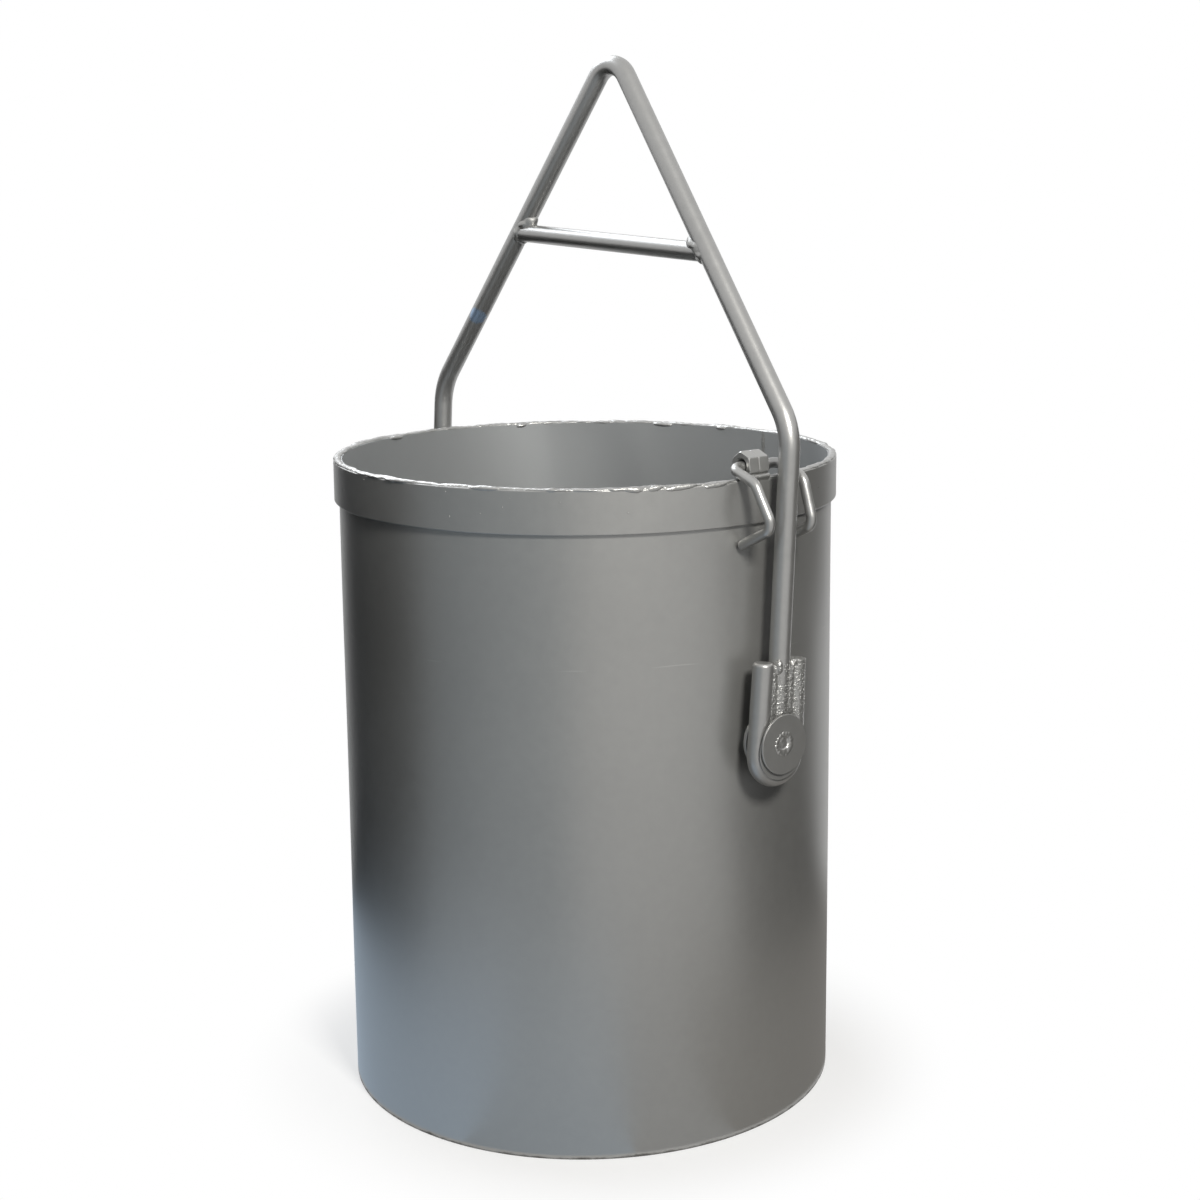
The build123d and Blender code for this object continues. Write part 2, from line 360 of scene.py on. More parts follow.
@dataclass(frozen=True)
class PailPaint(SilverPaint):
    """The pail's paint: dirt and painted shade at the foot, a faint scratch, painted skylight
    inside.
    """

    # Dark ragged line along the foot's edge: dirt and painted contact shade
    foot_edge: Pair = (0.2 * MM, 2.6 * MM)
    foot_share: float = 0.85
    foot_ragged: float = 6.0 * MM
    foot_scale: float = 70.0
    ring_height: float = 0.3845
    ring_width: float = 0.8 * MM
    ring_waver: float = 6.0 * MM
    ring_scale: float = 9.0
    ring_break_scale: float = 21.0
    ring_break_edge: Pair = (0.47, 0.60)
    ring_share: float = 0.55
    ring_relief: float = 0.05
    ring_colour: Colour = (0.46, 0.46, 0.45)
    # Inside of the wall: matt overspray, and a lighter, cooler colour that is painted skylight
    inside: float = 0.1975
    inside_edge: float = 1.0 * MM
    inside_colour: Colour = (0.392, 0.404, 0.410)

    def dust(self, bench: PaintBench) -> Signal:
        """Inside: matt overspray, and paint painted lighter and cooler as skylight.

        Args:
            bench: The bench to build on.

        Returns:
            The mask of the inside.
        """
        feeds = {0: bench.place, 1: (1.0, 1.0, 0.0)}
        flat = bench.node("ShaderNodeVectorMath", {"operation": "MULTIPLY"}, feeds)
        return 1.0 - bench.ease(bench.length(flat), self.inside, self.inside + self.inside_edge)

    def wear(self, bench: PaintBench) -> Signal:
        """Dirt and painted contact shade on the foot's edge, besides the scattered specks.

        Args:
            bench: The bench to build on.

        Returns:
            The grime mask.
        """
        ragged = bench.noise(self.foot_scale, detail=4.0, rough=0.65) - 0.5
        height = bench.along("Z") + ragged * self.foot_ragged
        foot = 1.0 - bench.ease(height, *self.foot_edge)
        return foot * self.foot_share + super().wear(bench)

    def ring(self, bench: PaintBench) -> Signal:
        """Broken scratch that runs round the wall, from 0 to 1.

        Args:
            bench: The bench to build on.

        Returns:
            The scratch mask.
        """
        waver = (bench.noise(self.ring_scale) - 0.5) * self.ring_waver
        away = abs(bench.along("Z") - self.ring_height + waver)
        line = 1.0 - bench.ease(away, 0.0, self.ring_width)
        return line * bench.ease(bench.noise(self.ring_break_scale), *self.ring_break_edge)

    def mark(self, bench: PaintBench, colour: Signal) -> Signal:
        """Paint inside painted lighter and cooler as skylight, and the pale scratch round the
        wall.
        """
        skylit_colour = bench.blend(self.dust(bench), colour, self.inside_colour)
        return bench.blend(self.ring(bench) * self.ring_share, skylit_colour, self.ring_colour)

    def relief(self, bench: PaintBench) -> Signal:
        """Fine relief with the scratch that runs round the wall."""
        return super().relief(bench) + self.ring(bench) * self.ring_relief


@dataclass(frozen=True)
class BailPaint(SilverPaint):
    """The bail's paint, with one blue smear on the left slope."""

    smear_place: Triple = (-0.1655, 0.0145, 0.6210)
    smear_size: float = 9.0 * MM
    smear_core: float = 0.6
    smear_ragged: float = 5.0 * MM
    smear_scale: float = 240.0
    smear_share: float = 0.9
    smear_colour: Colour = (0.36, 0.50, 0.70)

    def mark(self, bench: PaintBench, colour: Signal) -> Signal:
        """Blue smear over the paint.

        Args:
            bench: The bench to build on.
            colour: The paint's colour.

        Returns:
            The colour with the smear.
        """
        feeds = {0: bench.place, 1: self.smear_place}
        away = bench.node("ShaderNodeVectorMath", {"operation": "DISTANCE"}, feeds, "Value")
        ragged = (bench.noise(self.smear_scale, detail=3.0) - 0.5) * self.smear_ragged
        core = self.smear_core * self.smear_size
        smear = 1.0 - bench.ease(away + ragged, core, self.smear_size)
        return bench.blend(smear * self.smear_share, colour, self.smear_colour)


@dataclass(frozen=True)
class WeldPaint(SilverPaint):
    """Paint over rough weld metal, roughest on the stirrups."""

    crust_scale: float = 420.0
    pit_depth: float = 0.10
    pit_share: float = 0.35
    pit_scale: float = 330.0
    pit_edge: Pair = (0.10, 0.35)
    speckle: float = 0.22
    speckle_scale: float = 640.0
    speckle_edge: Pair = (0.55, 0.15)
    speckled_from: float = 0.2115
    speckled_to: float = 0.2295
    speckled_fade: float = 0.5 * MM

    def relief(self, bench: PaintBench) -> Signal:
        """Rough relief of weld metal under paint.

        Args:
            bench: The bench to build on.

        Returns:
            The height signal.
        """
        crust = bench.noise(self.crust_scale, detail=3.0, rough=0.6)
        pits = bench.ease(bench.cells(self.pit_scale), *self.pit_edge)
        reach = abs(bench.along("X"))
        near, beyond = (
            bench.ease(reach, start, start + self.speckled_fade)
            for start in (self.speckled_from, self.speckled_to)
        )
        drops = bench.ease(bench.cells(self.speckle_scale), *self.speckle_edge)
        spatter = drops * (near - beyond) * self.speckle
        return crust * self.pit_depth + pits * (self.pit_share * self.pit_depth) + spatter


class PaintRack:
    """The finishes of this bucket, one for each slot."""

    def mix(self) -> dict[Slot, bpy.types.Material]:
        """Build all finishes.

        Returns:
            The material of each slot.
        """
        bail = {"roughness": 0.35, "peel": 0.010 * MM, "grain": 0.034 * MM, "mottle": 0.16}
        latch = {"roughness": 0.32, "peel": 0.012 * MM}
        finishes = {
            Slot.PAIL: PailPaint("silver_pail", (0.350, 0.350, 0.343), roughness=0.40),
            Slot.BAIL: BailPaint("silver_bail", (0.362, 0.362, 0.357), **bail),
            Slot.LATCH: SilverPaint("silver_latch", (0.38, 0.38, 0.372), **latch),
            Slot.WELD: WeldPaint("silver_weld", (0.36, 0.36, 0.352), roughness=0.34),
        }
        return {slot: finish.make() for slot, finish in finishes.items()}


# Mesh work


@dataclass(frozen=True)
class Ripple:
    """One wave of unevenness, by its length and height in metres."""

    length: float
    height: float
    seed: float = 0.0


Skin = Sequence[Ripple]


class Blank:
    """A bmesh in the making, with the operations that the pieces share."""

    def __init__(self) -> None:
        """Start empty."""
        self.bm = bmesh.new()

    def line(self, points: Sequence[Vector], closed: bool = True) -> Edges:
        """Lay vertices in a row and join them by edges.

        Args:
            points: Where the vertices go.
            closed: Whether the last joins the first.

        Returns:
            The new edges.
        """
        verts = [self.bm.verts.new(point) for point in points]
        pairs = list(zip(verts, verts[1:]))
        if closed:
            pairs.append((verts[-1], verts[0]))
        return [self.bm.edges.new(pair) for pair in pairs]

    def lathe(
        self,
        profile: Sequence[Pair],
        steps: int,
        centre: Vector = Vector(),
        axis: Vector = UP,
        closed: bool = True,
    ) -> Blank:
        """Turn a profile round an axis.

        Args:
            profile: Radius and distance along the axis of each point.
            steps: Number of steps in the full turn.
            centre: A point on the axis.
            axis: Direction of the axis, Z or X.
            closed: Whether the profile is a closed loop.

        Returns:
            The blank itself.
        """
        outward = ALONG_TRUNNIONS if axis is UP else ACROSS_BAIL
        points = [centre + outward * radius + axis * along for radius, along in profile]
        edges = self.line(points, closed)
        verts = list({vert: None for edge in edges for vert in edge.verts})
        bmesh.ops.spin(
            self.bm,
            geom=verts + edges,
            cent=centre,
            axis=axis,
            angle=FULL_TURN,
            steps=steps,
            use_merge=True,
        )
        bmesh.ops.remove_doubles(self.bm, verts=self.bm.verts, dist=MERGE)
        return self

    def prism(self, section: Sequence[Vector], run: Vector, cuts: int) -> Blank:
        """Extrude a closed section along a straight run and divide it.

        Args:
            section: Corners of the section.
            run: Direction and length of the run.
            cuts: Number of divisions along the run.

        Returns:
            The blank itself.
        """
        ends = []
        for shift in (Vector(), run):
            ends += self.line([point + shift for point in section])
        bmesh.ops.bridge_loops(self.bm, edges=ends)
        heading = run.normalized()
        along = [
            edge
            for edge in self.bm.edges
            if abs((edge.verts[1].co - edge.verts[0].co).normalized().dot(heading)) > PARALLEL
        ]
        bmesh.ops.holes_fill(self.bm, edges=ends, sides=0)
        bmesh.ops.subdivide_edges(self.bm, edges=along, cuts=cuts, use_grid_fill=True)
        return self

    def bridge(self, rings: Sequence[Sequence[Vector]]) -> Blank:
        """Lay closed rings and join each to the next, and the last to the first.

        Args:
            rings: Points of each ring, all of the same number.

        Returns:
            The blank itself.
        """
        loops = [self.line(ring) for ring in rings]
        for loop, after in zip(loops, loops[1:] + loops[:1]):
            bmesh.ops.bridge_loops(self.bm, edges=loop + after)
        return self

    def face_out(self) -> None:
        """Turn all faces outward and renew the normals."""
        bmesh.ops.recalc_face_normals(self.bm, faces=self.bm.faces)
        self.bm.normal_update()

    def roughen(self, skin: Skin) -> Blank:
        """Move each vertex along its normal by a sum of noise waves.

        Args:
            skin: The waves.

        Returns:
            The blank itself.
        """
        self.face_out()
        for vert in self.bm.verts:
            shift = 0.0
            for ripple in skin:
                spot = vert.co / ripple.length + Vector((ripple.seed, ripple.seed, 0.0))
                shift += ripple.height * noise.noise(spot)
            vert.co += vert.normal * shift
        return self

    def grains(self, spots: Sequence[Vector], radii: Sequence[float]) -> Blank:
        """Add small beads of spatter.

        Args:
            spots: Their middles.
            radii: Their radii.

        Returns:
            The blank itself.
        """
        for spot, radius in zip(spots, radii):
            matrix = Matrix.Translation(spot)
            bmesh.ops.create_icosphere(self.bm, subdivisions=1, radius=radius, matrix=matrix)
        return self

    def move(self, matrix: Matrix) -> Blank:
        """Move the whole blank by a matrix."""
        bmesh.ops.transform(self.bm, matrix=matrix, verts=self.bm.verts)
        return self

    def release(self, name: str) -> bpy.types.Object:
        """Turn the blank into an object of the scene and free its bmesh.

        Args:
            name: Name of the object and its mesh.

        Returns:
            The object.
        """
        mesh = bpy.data.meshes.new(name)
        self.bm.to_mesh(mesh)
        self.bm.free()
        item = bpy.data.objects.new(name, mesh)
        bpy.context.scene.collection.objects.link(item)
        return item


class Casting(Blank):
    """Drops of weld metal that are fused to one skin."""

    def drop(self, centre: Vector, radii: Sequence[float], turn: Optional[Matrix] = None) -> None:
        """Add one drop.

        Args:
            centre: Its middle.
            radii: Its three half sizes.
            turn: How it is turned.
        """
        quaternion = (turn or Matrix.Identity(3)).to_quaternion()
        matrix = Matrix.LocRotScale(centre, quaternion, Vector(radii))
        bmesh.ops.create_icosphere(self.bm, subdivisions=3, radius=1.0, matrix=matrix)

    def rod(self, start: Vector, end: Vector, radius: float) -> None:
        """Add a round length of metal.

        Args:
            start: Middle of one end.
            end: Middle of the other end.
            radius: Its radius.
        """
        run = end - start
        bmesh.ops.create_cone(
            self.bm,
            cap_ends=True,
            segments=32,
            radius1=radius,
            radius2=radius,
            depth=run.length,
            matrix=Matrix.LocRotScale(start.lerp(end, 0.5), run.to_track_quat("Z", "Y"), None),
        )

    def fuse(self, voxel: float, eases: int = 2) -> Blank:
        """Fuse the drops by a voxel remesh and ease the steps that it leaves.

        Args:
            voxel: Edge of one voxel.
            eases: Rounds of smoothing.

        Returns:
            A new blank with the fused skin.
        """
        bmesh.ops.recalc_face_normals(self.bm, faces=self.bm.faces)
        draft = self.release("casting")
        remesh = draft.modifiers.new("fuse", "REMESH")
        remesh.mode = "VOXEL"
        remesh.voxel_size = voxel
        draft.modifiers.new("ease", "SMOOTH").iterations = eases
        evaluated = draft.evaluated_get(bpy.context.evaluated_depsgraph_get())
        meshes = (draft.data, bpy.data.meshes.new_from_object(evaluated))
        fused = Blank()
        fused.bm.from_mesh(meshes[1])
        bpy.data.objects.remove(draft)
        for mesh in meshes:
            bpy.data.meshes.remove(mesh)
        return fused


@dataclass(frozen=True)
class BentBar:
    """Round bar drawn along straight runs and bends."""

    radius: float
    sides: int = 32
    step: float = 4.0 * MM
    end_round: float = 1.0 * MM
    bend_steps: int = 6
    bend_degrees: float = 7.0

    def draw(self, corners: Sequence[Vector], bends: Sequence[float]) -> Blank:
        """Draw the bar along its corners.

        Args:
            corners: Start, corners and end of the centreline.
            bends: Bend radius at each inner corner.

        Returns:
            The closed bar.
        """
        here = corners[0]
        heading = (corners[1] - here).normalized()
        blank, first = self.start(here, heading)
        front = first
        for corner, after, bend in zip(corners[1:-1], corners[2:], bends):
            ahead = (after - corner).normalized()
            angle = heading.angle(ahead)
            axis = heading.cross(ahead).normalized()
            setback = bend * math.tan(angle / 2.0)
            start = corner - heading * setback
            front = self.run(blank, front, start - here)
            front = self.turn(blank, front, start + axis.cross(heading) * bend, axis, angle, bend)
            here = corner + ahead * setback
            heading = ahead
        front = self.run(blank, front, corners[-1] - here)
        self.close(blank, first)
        self.close(blank, front)
        return blank

    def start(self, place: Vector, heading: Vector) -> tuple[Blank, Edges]:
        """Lay the first loop of a bar.

        Args:
            place: Middle of the loop.
            heading: Direction of the bar.

        Returns:
            The new bar and the loop's edges.
        """
        blank = Blank()
        turn = heading.to_track_quat("Z", "Y").to_matrix().to_4x4()
        matrix = Matrix.Translation(place) @ turn
        bmesh.ops.create_circle(blank.bm, segments=self.sides, radius=self.radius, matrix=matrix)
        return blank, list(blank.bm.edges)

    def run(self, blank: Blank, front: Edges, run: Vector) -> Edges:
        """Extrude the front loop straight on.

        Args:
            blank: The bar so far.
            front: Edges of its open end.
            run: Direction and length.

        Returns:
            Edges of the new open end.
        """
        steps = max(1, round(run.length / self.step))
        for _ in range(steps):
            grown = bmesh.ops.extrude_edge_only(blank.bm, edges=front)["geom"]
            verts = [item for item in grown if isinstance(item, bmesh.types.BMVert)]
            fresh = set(verts)
            edges = [item for item in grown if isinstance(item, bmesh.types.BMEdge)]
            front = [edge for edge in edges if all(vert in fresh for vert in edge.verts)]
            bmesh.ops.translate(blank.bm, verts=verts, vec=run / steps)
        return front

    def turn(
        self, blank: Blank, front: Edges, centre: Vector, axis: Vector, angle: float, bend: float
    ) -> Edges:
        """Spin the front loop round the middle of a bend.

        Args:
            blank: The bar so far.
            front: Edges of its open end.
            centre: Middle of the bend.
            axis: Axis of the bend.
            angle: Angle of the bend.
            bend: Radius of the bend.

        Returns:
            Edges of the new open end.
        """
        verts = list({vert: None for edge in front for vert in edge.verts})
        by_angle = round(math.degrees(angle) / self.bend_degrees)
        steps = max(self.bend_steps, round(bend * angle / self.step), by_angle)
        spun = bmesh.ops.spin(
            blank.bm, geom=verts + front, cent=centre, axis=axis, angle=angle, steps=steps
        )
        return [item for item in spun["geom_last"] if isinstance(item, bmesh.types.BMEdge)]

    def close(self, blank: Blank, loop: Edges) -> None:
        """Close an end and round its edge.

        Args:
            blank: The bar.
            loop: Edges of the end.
        """
        bmesh.ops.edgeloop_fill(blank.bm, edges=loop)
        bmesh.ops.bevel(
            blank.bm,
            geom=loop,
            offset=self.end_round,
            offset_type="OFFSET",
            segments=3,
            profile=0.5,
            affect="EDGES",
            material=-1,
        )


class Workshop:
    """Turns finished blanks into pieces of the object."""

    def __init__(self, paints: Mapping[Slot, bpy.types.Material]) -> None:
        """Keep the finishes."""
        self.paints = paints

    def place(
        self, name: str, blank: Blank, body: Body, slot: Slot, node: str, sharp: float = 38.0
    ) -> None:
        """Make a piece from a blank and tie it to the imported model.

        Args:
            name: Name of the piece.
            blank: Its mesh.
            body: The body that it rides on.
            slot: The slot that it takes its finish from.
            node: The node that it stands for.
            sharp: Angle in degrees from which an edge stays sharp.
        """
        bm = blank.bm
        bmesh.ops.remove_doubles(bm, verts=bm.verts, dist=MERGE)
        bmesh.ops.recalc_face_normals(bm, faces=bm.faces)
        limit = math.radians(sharp)
        for face in bm.faces:
            face.smooth = True
        for edge in bm.edges:
            edge.smooth = edge.calc_face_angle(0.0) < limit
        piece = blank.release(name)
        piece.data.materials.append(self.paints[slot])
        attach(piece, body.value)
        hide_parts(node)
        LOG.info("%s: %d faces on %s", name, len(piece.data.polygons), body.value)

    def dress(self, node: str, slot: Slot) -> None:
        """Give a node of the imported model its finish.

        Args:
            node: The node.
            slot: The slot that it takes its finish from.
        """
        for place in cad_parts[node].material_slots:
            place.material = self.paints[slot]
        LOG.info("%s: dressed", node)


def flat_ring(hole: float, radius: float, low: float, high: float) -> list[Pair]:
    """Section of a flat ring: its corners from the inner low one on."""
    return [(hole, low), (radius, low), (radius, high), (hole, high)]


def rounded(
    corners: Sequence[Pair], radius: float, segments: int = 3, guard: float = 1.3
) -> list[Pair]:
    """Round the corners of a closed profile.

    Args:
        corners: The profile's corners in order.
        radius: Radius of the rounding.
        segments: Divisions of each rounding.
        guard: Distance of an extra point on each flat from the corner, in radii.

    Returns:
        The profile with rounded corners.
    """
    profile: list[Pair] = []
    count = len(corners)
    for index, corner in enumerate(corners):
        here = Vector(corner)
        back = (Vector(corners[index - 1]) - here).normalized() * radius
        ahead = (Vector(corners[(index + 1) % count]) - here).normalized() * radius
        middle = here + back + ahead
        profile.append(tuple(here + back * guard))
        for turn in angles(QUARTER_TURN, segments):
            point = middle - ahead * math.cos(turn) - back * math.sin(turn)
            profile.append((point.x, point.y))
        profile.append(tuple(here + ahead * guard))
    return profile


def divided(start: Pair, end: Pair, parts: int) -> list[Pair]:
    """Points between two points, without the end.

    Args:
        start: First point.
        end: Last point.
        parts: Number of equal parts.

    Returns:
        The points from the start on.
    """
    first, last = Vector(start), Vector(end)
    points = [first.lerp(last, part / parts) for part in range(parts)]
    return [(point.x, point.y) for point in points]


# The bucket


@dataclass(frozen=True)
class PailSizes:
    """Sizes that several sub-assemblies share, in metres."""

    radius: float = 0.200
    wall: float = 0.003
    height: float = 0.519
    base: float = 0.004
    band_height: float = 0.033
    band_thickness: float = 0.004
    pivot_height: float = 0.321
    leg_reach: float = 0.220
    rod_radius: float = 0.008
    pin_radius: float = 0.008
    pin_clearance: float = 0.0025
    rest_gap: float = 0.0005
    bail_shift: float = 0.002
    lean: float = math.radians(3.4)

    @property
    def inner(self) -> float:
        """Inner radius of the wall."""
        return self.radius - self.wall

    @property
    def band_radius(self) -> float:
        """Outer radius of the rim band."""
        return self.radius + self.band_thickness

    @property
    def band_foot(self) -> float:
        """Height of the rim band's lower edge."""
        return self.height - self.band_height

    @property
    def pivot(self) -> Vector:
        """Middle of the trunnion axis."""
        return UP * self.pivot_height

    @property
    def bail_turn(self) -> Matrix:
        """Turns the upright bail to its lean and lays it against one side of the pins."""
        lean = Matrix.Rotation(-self.lean, 4, "X")
        return Matrix.Translation(self.pivot + ACROSS_BAIL * self.bail_shift) @ lean

    def round_rim(self, angle: float, radius: float, height: float) -> Vector:
        """Point at an angle in degrees round the pail's axis."""
        turn = math.radians(angle)
        return Vector((radius * math.cos(turn), radius * math.sin(turn), height))


PAIL = PailSizes()


@dataclass
class PailShell:
    """Rolled wall, its seam, and the base with its weld."""

    steps: int = 288
    wall_parts: int = 40
    edge_round: float = 0.7 * MM
    wobble: float = 0.28 * MM
    wobble_fade: float = 0.08
    wobble_round: float = 1.7
    wobble_up: float = 5.0
    seam_angle: float = 88.6
    seam_width: float = 5.0 * MM
    seam_crown: float = 0.8 * MM
    seam_root: float = 0.5 * MM
    seam_gap: float = 0.4 * MM
    seam_sides: int = 10
    seam_cuts: int = 420
    scale_pitch: float = 3.4 * MM
    scale_height: float = 0.10 * MM
    seam_skin: Skin = (Ripple(9.0 * MM, 0.30 * MM), Ripple(2.6 * MM, 0.16 * MM, 3.0))
    base_leg: float = 5.0 * MM
    base_root: float = 0.5 * MM
    base_hollow: float = 0.30
    base_sides: int = 8
    base_steps: int = 540
    base_skin: Skin = (Ripple(11.0 * MM, 0.9 * MM), Ripple(4.0 * MM, 0.35 * MM, 5.0))

    def build(self, shop: Workshop) -> None:
        """Make the wall, the seam and the base.

        Args:
            shop: Where the pieces are finished.
        """
        shop.place("pail_wall", self.wall(), Body.PAIL, Slot.PAIL, "shell")
        shop.place("wall_seam", self.seam(), Body.PAIL, Slot.WELD, "shell_seam_weld")
        shop.place("base_bead", self.base_bead(), Body.PAIL, Slot.WELD, "base_weld")
        shop.dress("base_plate", Slot.PAIL)

    def wall(self) -> Blank:
        """Turn the wall and give it the slight waves of rolled sheet.

        Returns:
            The wall.
        """
        edge, top = self.edge_round, PAIL.height
        outer, inner = PAIL.radius, PAIL.inner
        profile = divided((outer, edge), (outer, top), self.wall_parts)
        profile += [(outer, top), *divided((inner, top), (inner, edge), self.wall_parts)]
        profile += [(inner, edge), (inner + edge, 0.0), (outer - edge, 0.0)]
        blank = Blank().lathe(profile, self.steps)
        for vert in blank.bm.verts:
            outward = Vector((vert.co.x, vert.co.y, 0.0)).normalized()
            share = min(1.0, max(0.0, (PAIL.band_foot - vert.co.z) / self.wobble_fade))
            round_x, round_y = outward.x * self.wobble_round, outward.y * self.wobble_round
            spot = Vector((round_x, round_y, vert.co.z * self.wobble_up))
            vert.co += outward * (noise.noise(spot) * self.wobble * share)
        return blank

    def seam(self) -> Blank:
        """Beads of the seam, outside up to the band and inside to the rim.

        Returns:
            Both beads.
        """
        blank = Blank()
        outward = PAIL.round_rim(self.seam_angle, 1.0, 0.0)
        across = UP.cross(outward)
        for radius, sign, foot, top in (
            (PAIL.radius, 1.0, 0.0, PAIL.band_foot - self.seam_gap),
            (PAIL.inner, -1.0, PAIL.base + self.base_leg, PAIL.height),
        ):
            section = []
            for turn in angles(math.pi, self.seam_sides):
                side = -0.5 * self.seam_width * math.cos(turn)
                rise = self.seam_crown * math.sin(turn) - self.seam_root
                section.append(outward * (radius + sign * rise) + across * side + UP * foot)
            bead = Blank().prism(section, UP * (top - foot), self.seam_cuts)
            self._scale_bead(bead, foot)
            mesh = bpy.data.meshes.new("bead")
            bead.bm.to_mesh(mesh)
            bead.bm.free()
            blank.bm.from_mesh(mesh)
            bpy.data.meshes.remove(mesh)
        return blank.roughen(self.seam_skin)

    def _scale_bead(self, bead: Blank, foot: float) -> None:
        """Give a seam bead the low scales of a weld run.

        Args:
            bead: The bead.
            foot: Height of its lower end.
        """
        bead.face_out()
        for vert in bead.bm.verts:
            phase = FULL_TURN * (vert.co.z - foot) / self.scale_pitch
            vert.co += vert.normal * (self.scale_height * math.sin(phase))

    def base_bead(self) -> Blank:
        """Fillet weld round the base, inside the wall.

        Returns:
            The weld.
        """
        foot, leg = PAIL.base - self.base_root, self.base_leg
        buried = PAIL.inner + self.base_root
        profile = [(buried, foot), (buried, PAIL.base + leg)]
        for turn in angles(QUARTER_TURN, self.base_sides):
            bulge = 1.0 - self.base_hollow * math.sin(2.0 * turn)
            radius = PAIL.inner - leg * math.sin(turn) * bulge
            profile.append((radius, PAIL.base + leg * math.cos(turn) * bulge))
        profile.append((PAIL.inner - leg, foot))
        return Blank().lathe(profile, self.base_steps).roughen(self.base_skin)


@dataclass
class RimBand:
    """Flat bar rolled round the top of the wall."""

    steps: int = 288
    face_parts: int = 8
    edge_round: float = 0.8 * MM
    skin: Skin = (Ripple(60.0 * MM, 0.18 * MM), Ripple(17.0 * MM, 0.05 * MM, 2.0))

    def build(self, shop: Workshop) -> None:
        """Make the band, with its upright face divided so that it can wave.

        Args:
            shop: Where the piece is finished.
        """
        section = flat_ring(PAIL.radius, PAIL.band_radius, PAIL.band_foot, PAIL.height)
        profile = rounded(section, self.edge_round)
        runs = list(zip(profile, profile[1:] + profile[:1]))
        climbs = [end[1] - start[1] for start, end in runs]
        face = climbs.index(max(climbs))
        profile[face:face + 1] = divided(*runs[face], self.face_parts)
        blank = Blank().lathe(profile, self.steps).roughen(self.skin)
        shop.place("rim_flat_bar", blank, Body.PAIL, Slot.PAIL, "rim_band", sharp=45.0)


@dataclass(frozen=True)
class BeadRun:
    """One long drop of weld along the rim.

    An angle in degrees round the rim, a radius and a height give its place. Length, thickness and
    width are half sizes, tilt turns it about the outward direction and yaw about the upright.
    """

    angle: float
    length: float
    radius: float
    height: float
    tilt: float
    thick: float
    width: float = 1.5 * MM
    yaw: float = 0.0


